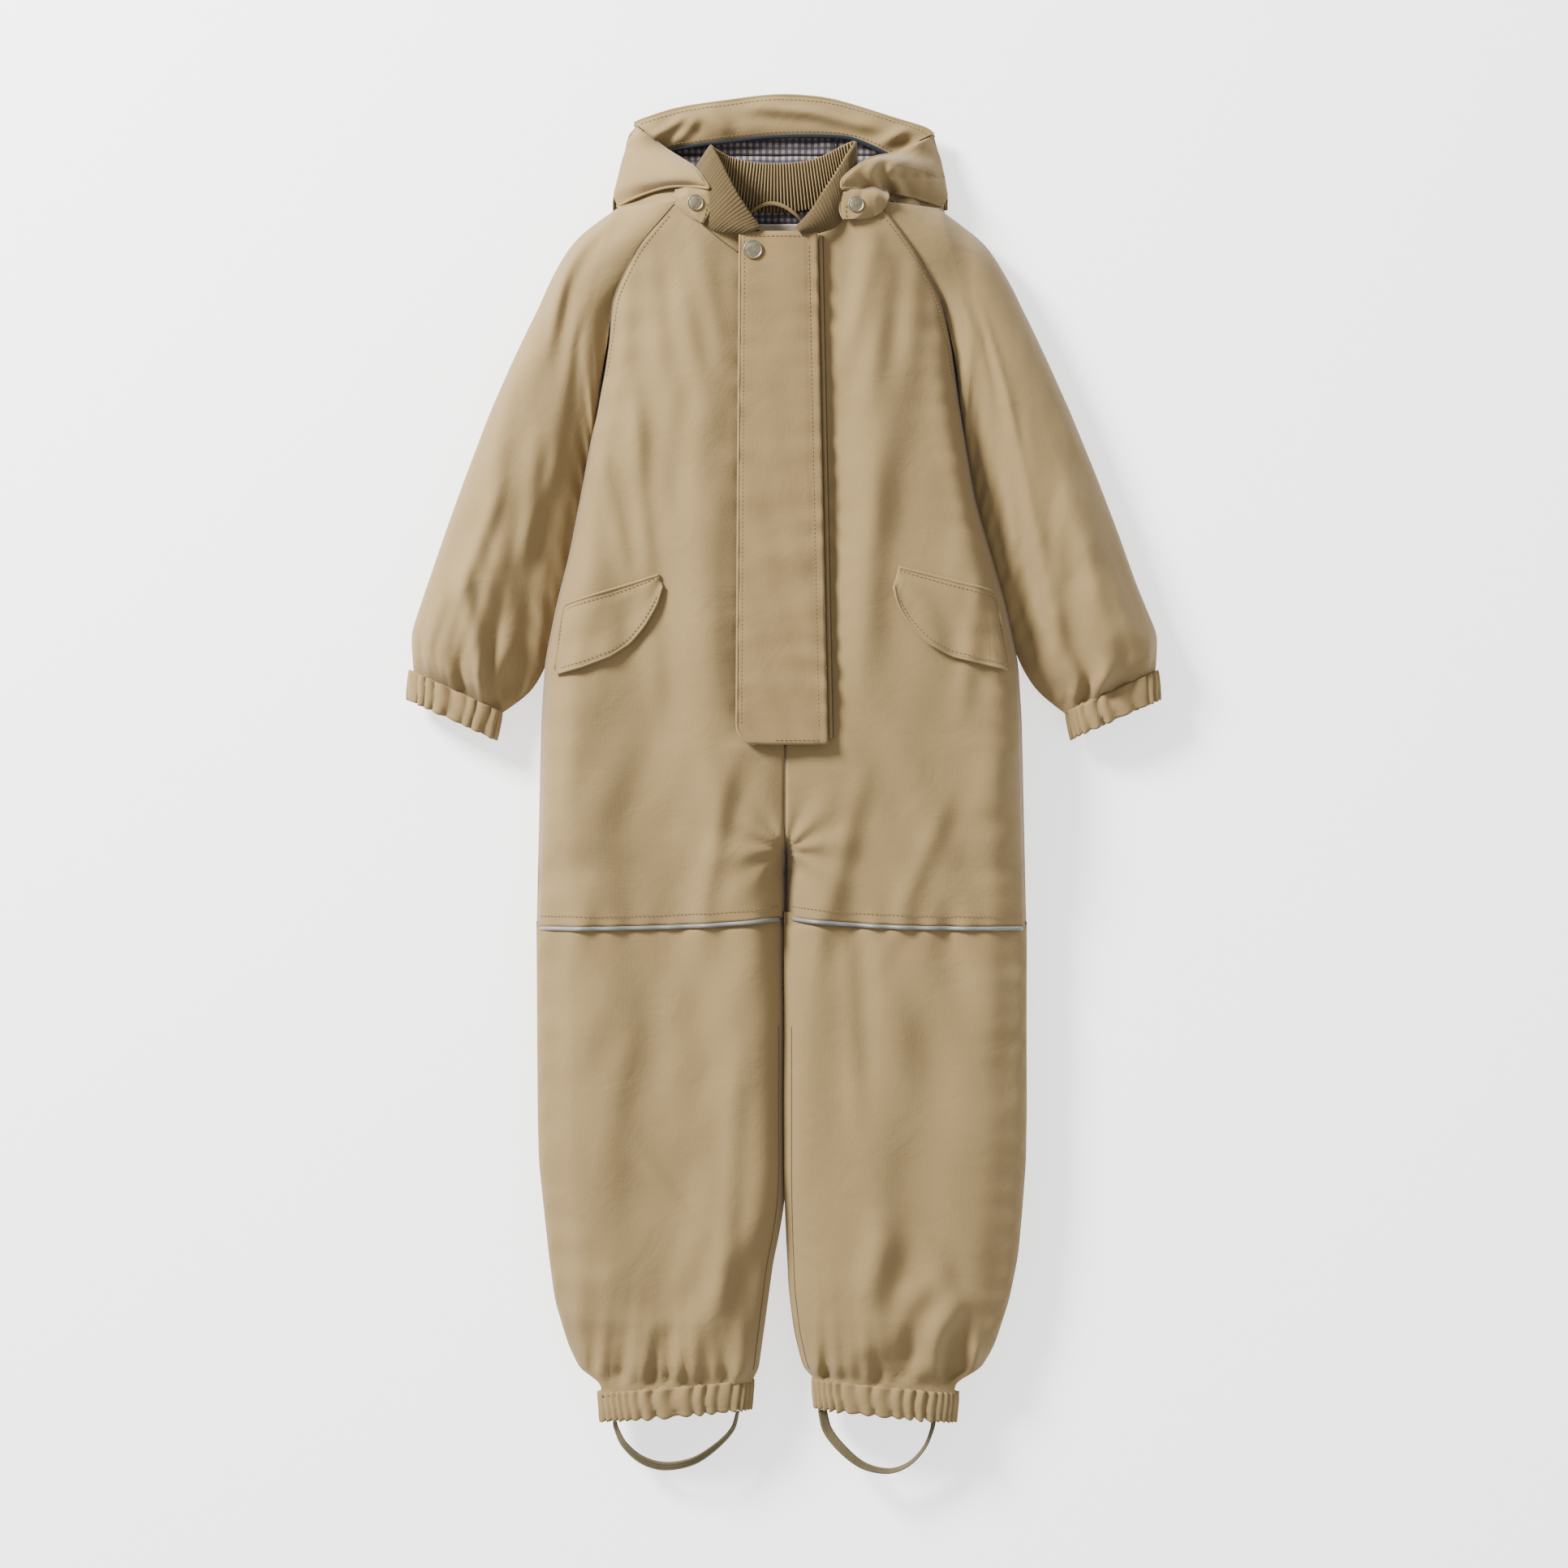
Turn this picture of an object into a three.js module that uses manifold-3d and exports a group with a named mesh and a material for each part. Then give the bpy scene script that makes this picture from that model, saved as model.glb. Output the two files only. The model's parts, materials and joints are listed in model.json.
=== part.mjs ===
import * as THREE from 'three';
import Module from 'manifold-3d';

// Hooded one-piece outdoor coverall for a small child, lying on its back.
// Millimetres. +Z is up and is the front of the coverall, +Y points to the hood,
// the wearer's right side is at -X.

// ---- driving dimensions ----
const SHELL_T = 0.9;
const LINING_T = 0.5;
const RIB_T = 1.6;
const CUFF_T = 2.0;
const BACK_Z = 0;
const SEAM_Z = 24;
const SEAM_GAP = 1.5;
const CHEST_Z = 56;
const CENTRE_GAP = 6;
const NECK_Y = 378;
const RAGLAN_TOP_Y = 401;
const UNDERARM_Y = 283;
const KNEE_Y = -98;
const PIPING_W = 3.2;
const ANKLE_Y = -415;
const ANKLE_CUFF_LEN = 19;
const SLEEVE_CUFF_LEN = 18;
const ZIP_Z = 50.6;
const ZIP_BOTTOM_Y = 40;
const PLACKET_Z = 58.9;
const PLACKET_T = 1.7;
const HOOD_FOLD_Y = 437;
const TAB_Z = 60.4;

const SHELL = { color: 0xc3ae86, roughness: 0.92, metalness: 0 };
const LINING = { color: 0x8c8791, roughness: 0.95, metalness: 0 };
const RIB = { color: 0xb49d72, roughness: 0.95, metalness: 0 };
const NAVY = { color: 0x2b3342, roughness: 0.85, metalness: 0 };
const CREAM = { color: 0xe3ddd0, roughness: 0.9, metalness: 0 };
const METAL = { color: 0x9d9380, roughness: 0.38, metalness: 0.9 };
const OLIVE = { color: 0x6a6544, roughness: 0.8, metalness: 0 };
const PIPING = { color: 0xb4b3ad, roughness: 0.45, metalness: 0.1 };
const TAPE = { color: 0xa08b62, roughness: 0.9, metalness: 0 };

// ---- outlines, wearer's right (-X) and left (+X), as distance from the centre line ----
const SIDES = {
  right: {
    sign: -1,
    side: [[-110, 172], [75, 168], [121, 159], [150, 151], [212, 139], [251, 132], [283, 126.5],
      [312, 121], [341, 118], [361, 108], [385, 88], [401, 73]],
    centre: [[-110, 3.4], [-80, 2], [-35, 0.6], [420, 0.6]],
    legOuter: [[-425, 131], [-410, 140], [-388, 150], [-366, 158], [-321, 164], [-254, 171], [-98, 172]],
    legInner: [[-425, 24], [-410, 19], [-366, 13], [-321, 7], [-298, 3.4], [-98, 3.4]],
    sleeveIn: [[129, 282.5], [132.5, 235], [147, 150], [163, 90], [177, 63], [203, 46.5]],
    sleeveOut: [[174, 325], [201, 267], [231, 188], [251, 130], [260, 101], [260, 72.5]],
    headOut: [[116, 398], [136, 386], [149, 373], [162, 351], [169, 336], [174, 325]],
    shoulder: [124, 332.8],
    ankle: [75.5, -0.082, 54],
    strap: [[116, -444], [107, -460], [95, -470], [82, -472.5], [67, -469], [46, -458], [34, -444]],
    flapTop: [[85, 144], [152, 123]],
    flapFree: [[84, 137], [89, 121], [101, 103], [113, 92], [136, 82], [158, 76]],
    hoodOuter: [[120, 402], [118, 412], [115, 424], [112, HOOD_FOLD_Y - 0.7]],
    hoodTop: [[112, HOOD_FOLD_Y + 0.7], [109, 452], [102, 462], [75, 470], [40, 476], [0, 479]],
    tab: [[80, 406], [56, 406], [50.5, 398], [57, 384], [66, 388], [77, 397]],
    snap: [61.3, 397.6],
  },
  left: {
    sign: 1,
    side: [[-110, 167], [75, 163], [116, 155], [150, 145], [205, 129], [242, 124], [283, 119],
      [312, 114], [326, 111], [348, 102], [371, 85], [401, 62]],
    centre: [[-110, 0.6], [420, 0.6]],
    legOuter: [[-425, 122], [-410, 132], [-388, 145], [-366, 153], [-321, 162], [-254, 167], [-98, 167]],
    legInner: [[-425, 20], [-410, 14], [-388, 7], [-366, 5], [-343, 1.5], [-298, 0.6], [-98, 0.6]],
    sleeveIn: [[121.5, 282.5], [123.5, 235], [142.5, 150], [160, 90], [176, 63], [200, 46]],
    sleeveOut: [[167, 325], [194, 267], [226, 188], [247, 130], [259, 101], [259, 72]],
    headOut: [[106, 398], [126, 385], [140, 373], [154, 351], [162, 336], [167, 325]],
    shoulder: [116.9, 333],
    ankle: [69, -0.097, 51],
    strap: [[26, -444], [35, -459], [49, -471], [68, -477], [82, -472], [93, -461], [102, -447]],
    flapTop: [[76, 149], [144, 132]],
    flapFree: [[74, 137], [78, 121], [90, 104], [107, 91], [128, 85], [153, 79]],
    hoodOuter: [[113, 402], [112, 412], [110, 424], [107, HOOD_FOLD_Y - 0.7]],
    hoodTop: [[107, HOOD_FOLD_Y + 0.7], [106, 446], [99, 459], [70, 470], [36, 476], [0, 479]],
    tab: [[71, 406], [47, 406], [37.5, 398], [39, 386], [50, 384], [64, 391]],
    snap: [48.4, 396.5],
  },
};

// ---- small helpers ----
const suit = new THREE.Group();
suit.name = 'child_shell_coverall';

function lerp(a, b, t) {
  return a + (b - a) * t;
}

function smooth(a, b, x) {
  const t = Math.min(1, Math.max(0, (x - a) / (b - a)));
  return t * t * (3 - 2 * t);
}

// value of a [key, value] list at x, straight between the points
function look(list, x) {
  if (x <= list[0][0]) return list[0][1];
  for (let i = 1; i < list.length; i += 1) {
    if (x <= list[i][0]) {
      const t = (x - list[i - 1][0]) / (list[i][0] - list[i - 1][0]);
      return lerp(list[i - 1][1], list[i][1], t);
    }
  }
  return list[list.length - 1][1];
}

// point at 0..1 on a smooth line through the given points
function along(points, t) {
  const line = new THREE.CatmullRomCurve3(points.map((p) => new THREE.Vector3(p[0], p[1], p[2] || 0)));
  return line.getPoint(Math.min(1, Math.max(0, t)));
}

function add(name, geometry, look3) {
  const mesh = new THREE.Mesh(geometry, new THREE.MeshStandardMaterial(look3));
  mesh.name = name;
  suit.add(mesh);
  return mesh;
}

// rises from 0 at a seam to 1 in the middle of a panel
function puff(distance, reach) {
  return 1 - Math.exp(-Math.max(0, distance) / reach);
}

// falls from 1 at a seam to exactly 0 where the cloth lies flat on the floor
function roll(distance, reach) {
  return Math.max(0, Math.exp(-Math.max(0, distance) / reach) - 0.02) / 0.98;
}

// a thin closed sheet: at(u, v) is its outer face, the inner face lies t behind it
function sheet(nu, nv, at, t, ring = false) {
  const step = 1e-3;
  const cols = ring ? nu : nu + 1;
  const outer = [];
  const inner = [];
  for (let j = 0; j <= nv; j += 1) {
    for (let i = 0; i < cols; i += 1) {
      const u = i / nu;
      const v = j / nv;
      const u0 = ring ? u - step : Math.max(0, u - step);
      const u1 = ring ? u + step : Math.min(1, u + step);
      const du = at(u1, v).clone().sub(at(u0, v));
      const dv = at(u, Math.min(1, v + step)).clone().sub(at(u, Math.max(0, v - step)));
      const n = du.cross(dv).normalize();
      const p = at(u, v).clone();
      outer.push(p);
      inner.push(p.clone().addScaledVector(n, -t));
    }
  }
  const count = outer.length;
  const points = outer.concat(inner);
  const faces = [];
  const quad = (a, b, c, d) => faces.push([a, b, c], [a, c, d]);
  const id = (i, j) => j * cols + (i % cols);
  for (let j = 0; j < nv; j += 1) {
    for (let i = 0; i < nu; i += 1) {
      quad(id(i, j), id(i + 1, j), id(i + 1, j + 1), id(i, j + 1));
      quad(id(i, j) + count, id(i, j + 1) + count, id(i + 1, j + 1) + count, id(i + 1, j) + count);
    }
  }
  for (let i = 0; i < nu; i += 1) {
    quad(id(i, 0), id(i, 0) + count, id(i + 1, 0) + count, id(i + 1, 0));
    quad(id(i, nv), id(i + 1, nv), id(i + 1, nv) + count, id(i, nv) + count);
  }
  if (!ring) {
    for (let j = 0; j < nv; j += 1) {
      quad(id(0, j), id(0, j + 1), id(0, j + 1) + count, id(0, j) + count);
      quad(id(nu, j), id(nu, j) + count, id(nu, j + 1) + count, id(nu, j + 1));
    }
  }
  return solid(points, faces);
}

// a geometry from points and faces, turned so that its faces look outwards
function solid(points, faces) {
  let volume = 0;
  for (const [a, b, c] of faces) {
    volume += points[a].clone().dot(points[b].clone().cross(points[c])) / 6;
  }
  const index = [];
  for (const [a, b, c] of faces) {
    if (volume > 0) index.push(a, b, c);
    else index.push(a, c, b);
  }
  const geometry = new THREE.BufferGeometry();
  geometry.setAttribute('position', new THREE.Float32BufferAttribute(points.flatMap((p) => p.toArray()), 3));
  geometry.setIndex(index);
  geometry.computeVertexNormals();
  return geometry;
}

// one geometry with another taken away from it
const wasm = await Module();
wasm.setup();

function manifoldOf(geometry) {
  const plain = geometry.index ? geometry.toNonIndexed() : geometry;
  const source = plain.getAttribute('position').array;
  const mesh = new wasm.Mesh({
    numProp: 3,
    vertProperties: source,
    triVerts: Uint32Array.from({ length: source.length / 3 }, (_, i) => i),
  });
  mesh.merge();
  return new wasm.Manifold(mesh);
}

function cut(geometry, tool) {
  const mesh = manifoldOf(geometry).subtract(manifoldOf(tool)).getMesh();
  const result = new THREE.BufferGeometry();
  result.setAttribute('position', new THREE.BufferAttribute(mesh.vertProperties, 3));
  result.setIndex(new THREE.BufferAttribute(mesh.triVerts, 1));
  result.computeVertexNormals();
  return result;
}

// a flat piece cut to an outline in plan, lying from z upwards
function flat(outline, z, thickness) {
  const shape = new THREE.Shape(outline.map((p) => new THREE.Vector2(p[0], p[1])));
  const geometry = new THREE.ExtrudeGeometry(shape, { depth: thickness, bevelEnabled: false });
  geometry.translate(0, 0, z);
  return geometry;
}

// ---- body of the coverall ----
function sideSeam(side, y) {
  return look(side.side, y);
}

function frontSeamZ(y) {
  return SEAM_Z + SEAM_GAP + 20 * smooth(UNDERARM_Y, RAGLAN_TOP_Y, y);
}

function backSeamZ(y) {
  return SEAM_Z - SEAM_GAP - 17 * smooth(UNDERARM_Y, RAGLAN_TOP_Y, y);
}

function crownZ(y) {
  return CHEST_Z - 8 * (1 - smooth(-90, 20, y)) - 6 * (1 - smooth(-98, -60, y));
}

function legShare(y) {
  return 1 - smooth(-85, 5, y);
}

function frontZ(side, x, y) {
  const outer = sideSeam(side, y) - x;
  const inner = x - look(side.centre, y);
  const fall = 1 - legShare(y) * Math.exp(-Math.max(0, inner) / 15);
  return lerp(frontSeamZ(y), crownZ(y), puff(outer, 20) * fall);
}

function backZ(side, x, y) {
  const outer = sideSeam(side, y) - x;
  const inner = x - look(side.centre, y);
  const lift = roll(outer, 18) + legShare(y) * roll(inner, 15);
  return lerp(BACK_Z, backSeamZ(y), Math.min(1, lift));
}

function across(share, u) {
  return lerp(u ** 1.6, 0.5 - 0.5 * Math.cos(Math.PI * u), share);
}

function kneeY(s) {
  return KNEE_Y + 7 * s ** 3;
}

function bodyPanel(side, front) {
  return (u, v) => {
    const top = front ? NECK_Y + 23 * (1 - u) ** 3 : 392 + 8 * (1 - u) ** 2;
    const y = lerp(kneeY(across(1, u)), top, v ** 0.85);
    const s = across(legShare(y), u);
    const edge = look(side.centre, y);
    const centre = front ? lerp(CENTRE_GAP, edge, 1 - smooth(20, 36, y)) : edge;
    const x = lerp(sideSeam(side, y), centre, s);
    return new THREE.Vector3(side.sign * x, y, front ? frontZ(side, x, y) : backZ(side, x, y));
  };
}

// the outer face of a sheet has to be its first face, so panels on one side run the other way
function facing(at, flip) {
  return flip ? (u, v) => at(1 - u, v) : at;
}

// the pocket's mouth is a slit in the front panel, under the flap
function pocketSlit(side) {
  const [topIn, topOut] = side.flapTop;
  const slope = Math.atan2(side.sign * (topOut[1] - topIn[1]), side.sign * (topOut[0] - topIn[0]));
  const cutter = new THREE.BoxGeometry(46, 4.5, 40);
  cutter.rotateZ(side.sign < 0 ? slope + Math.PI : slope);
  cutter.translate(side.sign * (topIn[0] + 32), topIn[1] - 19, CHEST_Z);
  return cutter;
}

for (const [name, side] of Object.entries(SIDES)) {
  const right = side.sign < 0;
  const front = sheet(9, 13, facing(bodyPanel(side, true), !right), SHELL_T);
  add(`${name}_front_panel`, cut(front, pocketSlit(side)), SHELL);
  add(`${name}_back_panel`, sheet(8, 11, facing(bodyPanel(side, false), right), SHELL_T), SHELL);

  // reflective piping in the knee seam
  const piping = (u, v) => {
    const s = 0.5 - 0.5 * Math.cos(Math.PI * lerp(0.06, 0.94, u));
    const y = kneeY(s) - 0.4 - PIPING_W * v;
    const x = lerp(sideSeam(side, y), look(side.centre, y), s);
    return new THREE.Vector3(side.sign * x, y, frontZ(side, x, y) + 0.5);
  };
  add(`${name}_knee_piping`, sheet(9, 1, facing(piping, right), 1.6), PIPING);
}

// ---- pockets: a hinged flap over a flat inner bag on each side ----
const FLAP_RISE = 1.8;
const BAG_DROP = 9;
for (const [name, side] of Object.entries(SIDES)) {
  const right = side.sign < 0;
  const [topIn, topOut] = side.flapTop;
  const flap = (u, v) => {
    const top = [lerp(topIn[0], topOut[0], u), lerp(topIn[1], topOut[1], u)];
    const free = along(side.flapFree, u);
    const x = lerp(top[0], free.x, v);
    const y = lerp(top[1], free.y, v);
    return new THREE.Vector3(side.sign * x, y, frontZ(side, x, y) + FLAP_RISE + SHELL_T);
  };
  add(`${name}_pocket_flap`, sheet(6, 4, facing(flap, right), SHELL_T), SHELL);

  const bag = (u, v) => {
    const x = lerp(topIn[0] + 2, topOut[0] - 22, u);
    const y = lerp(topIn[1] - 24 * u - 4, topIn[1] - 94, v);
    return new THREE.Vector3(side.sign * x, y, frontZ(side, x, y) - BAG_DROP);
  };
  add(`${name}_pocket_bag`, sheet(3, 3, facing(bag, right), LINING_T), LINING);
}

// ---- raglan sleeve heads, sleeves and their cuffs ----
function arcPoint(side, radius, u) {
  const [cx, cy] = side.shoulder;
  const a0 = Math.atan2(side.sleeveIn[0][1] - cy, side.sleeveIn[0][0] - cx);
  const a1 = Math.atan2(side.sleeveOut[0][1] - cy, side.sleeveOut[0][0] - cx);
  const a = lerp(a0, a1, u);
  return new THREE.Vector3(cx + radius * Math.cos(a), cy + radius * Math.sin(a), 0);
}

function arcRadius(side) {
  const [cx, cy] = side.shoulder;
  return Math.hypot(side.sleeveIn[0][0] - cx, side.sleeveIn[0][1] - cy);
}

// plan position of a sleeve point: u from the inner to the outer edge, v from the arc to the cuff
function sleevePlan(side, u, v) {
  const a = along(side.sleeveIn, v);
  const b = along(side.sleeveOut, v);
  const p = a.clone().lerp(b, u);
  const bow = Math.max(0, 1 - v / 0.35) ** 2;
  const start = along(side.sleeveIn, 0).lerp(along(side.sleeveOut, 0), u);
  return p.addScaledVector(arcPoint(side, arcRadius(side), u).sub(start), bow);
}

function sleeveFrontZ(side, u, v, width) {
  const edge = lerp(15, 14, v);
  const crown = 41 - 5 * smooth(0.8, 1, v);
  return lerp(edge, crown, puff(u * width, 15) * puff((1 - u) * width, 15));
}

function sleeveBackZ(u, width) {
  const lift = roll(u * width, 12) + roll((1 - u) * width, 12);
  return lerp(BACK_Z, 12, Math.min(1, lift));
}

function sleevePanel(side, front) {
  return (u, v) => {
    const s = 0.5 - 0.5 * Math.cos(Math.PI * u);
    const p = sleevePlan(side, s, v);
    const width = along(side.sleeveIn, v).distanceTo(along(side.sleeveOut, v));
    const z = front ? sleeveFrontZ(side, s, v, width) : sleeveBackZ(s, width);
    return new THREE.Vector3(side.sign * p.x, p.y, z);
  };
}

function headPanel(side, front) {
  return (u, v) => {
    const y = lerp(RAGLAN_TOP_Y - 2, UNDERARM_Y + 1.5, v);
    const raglan = new THREE.Vector3(sideSeam(side, y) + 2.2, y, 0);
    const outer = along(side.headOut, v);
    const end = arcPoint(side, arcRadius(side) - 0.8, u);
    const straight = raglan.clone().lerp(outer, u);
    const last = new THREE.Vector3(sideSeam(side, UNDERARM_Y + 1.5) + 2.2, UNDERARM_Y + 1.5, 0);
    const bow = end.sub(last.lerp(along(side.headOut, 1), u));
    const p = straight.addScaledVector(bow, v ** 3);
    const hump = 4 * u * (1 - u);
    const outerZ = front ? lerp(19, 15, v) : lerp(9, 12, v);
    const seamZ = front ? frontSeamZ(y) : backSeamZ(y);
    let z = lerp(seamZ, outerZ, u);
    if (front) z += hump * lerp(9, 20, v);
    else z = Math.max(BACK_Z, z - hump * lerp(8, 15, v));
    return new THREE.Vector3(side.sign * p.x, p.y, z);
  };
}

// a closed cuff ring around an axis in plan
function cuffRing(centre, acrossDir, alongDir, half, height, midZ, length, slant) {
  return (u, v) => {
    const a = 2 * Math.PI * u;
    const c = Math.sign(Math.cos(a)) * Math.abs(Math.cos(a)) ** 0.8;
    const s = Math.sign(Math.sin(a)) * Math.abs(Math.sin(a)) ** 0.8;
    const p = new THREE.Vector3(centre[0], centre[1], midZ + height * s);
    p.addScaledVector(acrossDir, half * c * (1 - 0.03 * v));
    p.addScaledVector(alongDir, v * length + slant * half * c);
    return p;
  };
}

for (const [name, side] of Object.entries(SIDES)) {
  const right = side.sign < 0;
  add(`${name}_shoulder_front`, sheet(6, 7, facing(headPanel(side, true), !right), SHELL_T), SHELL);
  add(`${name}_shoulder_back`, sheet(6, 7, facing(headPanel(side, false), right), SHELL_T), SHELL);
  add(`${name}_sleeve_front`, sheet(8, 9, facing(sleevePanel(side, true), !right), SHELL_T), SHELL);
  add(`${name}_sleeve_back`, sheet(8, 9, facing(sleevePanel(side, false), right), SHELL_T), SHELL);

  const a = along(side.sleeveIn, 1);
  const b = along(side.sleeveOut, 1);
  const acrossDir = new THREE.Vector3(side.sign * (b.x - a.x), b.y - a.y, 0).normalize();
  const alongDir = new THREE.Vector3(side.sign * 0.14, -0.99, 0);
  const centre = new THREE.Vector3((side.sign * (a.x + b.x)) / 2, (a.y + b.y) / 2, 0);
  centre.addScaledVector(alongDir, 1.4);
  const half = a.distanceTo(b) / 2 - 0.5;
  const ring = cuffRing([centre.x, centre.y], acrossDir, alongDir, half, 13.5, 15, SLEEVE_CUFF_LEN, 0);
  add(`${name}_sleeve_cuff`, sheet(18, 1, facing(ring, right), CUFF_T, true), SHELL);
}

// ---- lower legs, ankle cuffs and foot straps ----
function ankleY(side, x) {
  return ANKLE_Y + side.ankle[1] * (x - side.ankle[0]);
}

function legPanel(side, front) {
  return (u, v) => {
    const s = 0.5 - 0.5 * Math.cos(Math.PI * u);
    const top = kneeY(s) - PIPING_W - 0.8;
    const guess = lerp(look(side.legOuter, ANKLE_Y), look(side.legInner, ANKLE_Y), s);
    const y = lerp(ankleY(side, guess), top, v);
    const outer = look(side.legOuter, y);
    const inner = look(side.legInner, y);
    const x = lerp(outer, inner, s);
    const edgeZ = SEAM_Z + (front ? SEAM_GAP : -SEAM_GAP) - 3 * (1 - smooth(-415, -330, y));
    const crown = lerp(36, 45, smooth(-418, -370, y)) - 3 * smooth(-170, -102, y);
    const e = outer - x;
    const i = x - inner;
    const z = front
      ? lerp(edgeZ, crown, puff(e, 17) * puff(i, 15))
      : lerp(BACK_Z, edgeZ, Math.min(1, roll(e, 16) + roll(i, 15)));
    return new THREE.Vector3(side.sign * x, y, z);
  };
}

function ribbonOutline(points, width) {
  const line = new THREE.CatmullRomCurve3(points.map((p) => new THREE.Vector3(p[0], p[1], 0)));
  const outer = [];
  const inner = [];
  for (let i = 0; i <= 14; i += 1) {
    const p = line.getPoint(i / 14);
    const t = line.getTangent(i / 14);
    outer.push([p.x - (t.y * width) / 2, p.y + (t.x * width) / 2]);
    inner.unshift([p.x + (t.y * width) / 2, p.y - (t.x * width) / 2]);
  }
  return outer.concat(inner);
}

for (const [name, side] of Object.entries(SIDES)) {
  const right = side.sign < 0;
  add(`${name}_lower_leg_front`, sheet(9, 10, facing(legPanel(side, true), !right), SHELL_T), SHELL);
  add(`${name}_lower_leg_back`, sheet(8, 9, facing(legPanel(side, false), right), SHELL_T), SHELL);

  const [cx, slant, half] = side.ankle;
  const acrossDir = new THREE.Vector3(side.sign, 0, 0);
  const alongDir = new THREE.Vector3(0, -1, 0);
  const ring = cuffRing([side.sign * cx, ANKLE_Y - 1.2], acrossDir, alongDir, half, 17, 19.5,
    ANKLE_CUFF_LEN, -slant);
  add(`${name}_ankle_cuff`, sheet(20, 1, facing(ring, right), CUFF_T, true), SHELL);

  const strap = side.strap.map((p) => [side.sign * p[0], p[1]]);
  add(`${name}_foot_strap`, flat(ribbonOutline(strap, 2), 14, 11), OLIVE);
}

// ---- rib collar, neck facing, blank label and hanger loop ----
const COLLAR_SEAM = [[-31, 379, 57.6], [-50, 385, 56.2], [-64, 402, 42], [-50, 402, 17], [0, 396, 8]];
const COLLAR_EDGE = [[-18, 382, 59.6], [-32, 404, 62], [-46, 431, 56], [-37, 431, 46], [0, 427, 41]];
function mirrorLine(half, shift) {
  const other = half.slice(0, -1).map((p) => [-p[0] + shift, p[1], p[2]]).reverse();
  return half.concat(other);
}
const seamLine = mirrorLine(COLLAR_SEAM, -9);
const edgeLine = mirrorLine(COLLAR_EDGE, -9);
const collar = (u, v) => {
  const p = along(seamLine, u).lerp(along(edgeLine, u), v);
  const swell = 2.5 * Math.sin(Math.PI * v) * Math.sin(Math.PI * u);
  return p.add(new THREE.Vector3(0, 0, swell));
};
add('rib_collar', sheet(20, 3, (u, v) => collar(1 - u, v), RIB_T), RIB);

const neckFacing = (u, v) => {
  const x = lerp(-40, 40, u);
  const y = lerp(381, 391.4, v) + 1.6 * (x / 40) ** 2;
  return new THREE.Vector3(x, y, 4.2);
};
add('neck_facing', sheet(6, 1, neckFacing, LINING_T), LINING);
add('neck_label', flat([[-18, 379.6], [10, 379.6], [10, 387], [-18, 387]], 4.7, 0.5), CREAM);

class LoopLine extends THREE.Curve {
  getPoint(t, target = new THREE.Vector3()) {
    return target.copy(along([[-28, 388, 12], [-22, 396, 19], [-12, 401, 24], [2, 397, 20], [13, 388, 12]], t));
  }
}
const ropeShape = new THREE.Shape();
ropeShape.absarc(0, 0, 1.4, 0, 2 * Math.PI);
add('hanger_loop', new THREE.ExtrudeGeometry(ropeShape, {
  steps: 16, curveSegments: 4, bevelEnabled: false, extrudePath: new LoopLine(),
}), RIB);

// ---- front zip under the storm flap ----
function box(x0, x1, y0, y1, z0, z1) {
  const geometry = new THREE.BoxGeometry(x1 - x0, y1 - y0, z1 - z0);
  geometry.translate((x0 + x1) / 2, (y0 + y1) / 2, (z0 + z1) / 2);
  return geometry;
}
add('right_zip_tape', box(-14, -2.3, ZIP_BOTTOM_Y, NECK_Y - 2, ZIP_Z, ZIP_Z + 0.8), TAPE);
add('left_zip_tape', box(2.3, 14, ZIP_BOTTOM_Y, NECK_Y - 2, ZIP_Z, ZIP_Z + 0.8), TAPE);

const TOOTH_PITCH = 16;
const TEETH_TOP_Y = NECK_Y - 4;
const TEETH_BOTTOM_Y = ZIP_BOTTOM_Y + 6;
const teeth = [];
const toothCount = Math.floor((TEETH_TOP_Y - TEETH_BOTTOM_Y) / TOOTH_PITCH);
for (let i = 0; i < toothCount; i += 1) {
  const y = TEETH_BOTTOM_Y + i * TOOTH_PITCH;
  teeth.push([2, y], [2, y + TOOTH_PITCH / 2], [1.5, y + TOOTH_PITCH / 2], [1.5, y + TOOTH_PITCH]);
}
for (let i = toothCount - 1; i >= 0; i -= 1) {
  const y = TEETH_BOTTOM_Y + i * TOOTH_PITCH;
  teeth.push([-2, y + TOOTH_PITCH], [-2, y + TOOTH_PITCH / 2], [-1.5, y + TOOTH_PITCH / 2], [-1.5, y]);
}
add('zip_teeth', flat(teeth, ZIP_Z - 0.2, 2.2), METAL);
add('zip_bottom_stop', box(-3.2, 3.2, ZIP_BOTTOM_Y + 1, ZIP_BOTTOM_Y + 5, ZIP_Z + 1.2, ZIP_Z + 3), METAL);

// the slider is a channel open downwards over the teeth
const channel = [[-4.6, 0], [-2.5, 0], [-2.5, 1.5], [2.5, 1.5], [2.5, 0], [4.6, 0], [4.6, 2.5], [-4.6, 2.5]];
const channelShape = new THREE.Shape(channel.map((p) => new THREE.Vector2(p[0], p[1])));
const slider = new THREE.ExtrudeGeometry(channelShape, { depth: 10, bevelEnabled: false });
slider.rotateX(Math.PI / 2);
slider.translate(0, TEETH_TOP_Y, ZIP_Z + 1.1);
add('zip_slider', slider, METAL);
const pullOutline = [[-2.2, 0], [2.2, 0], [3.4, -14], [2.4, -17], [-2.4, -17], [-3.4, -14]];
const pull = flat(pullOutline.map((p) => [p[0], p[1] + TEETH_TOP_Y - 3]), ZIP_Z + 4, 1);
add('zip_pull', pull, METAL);

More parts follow.
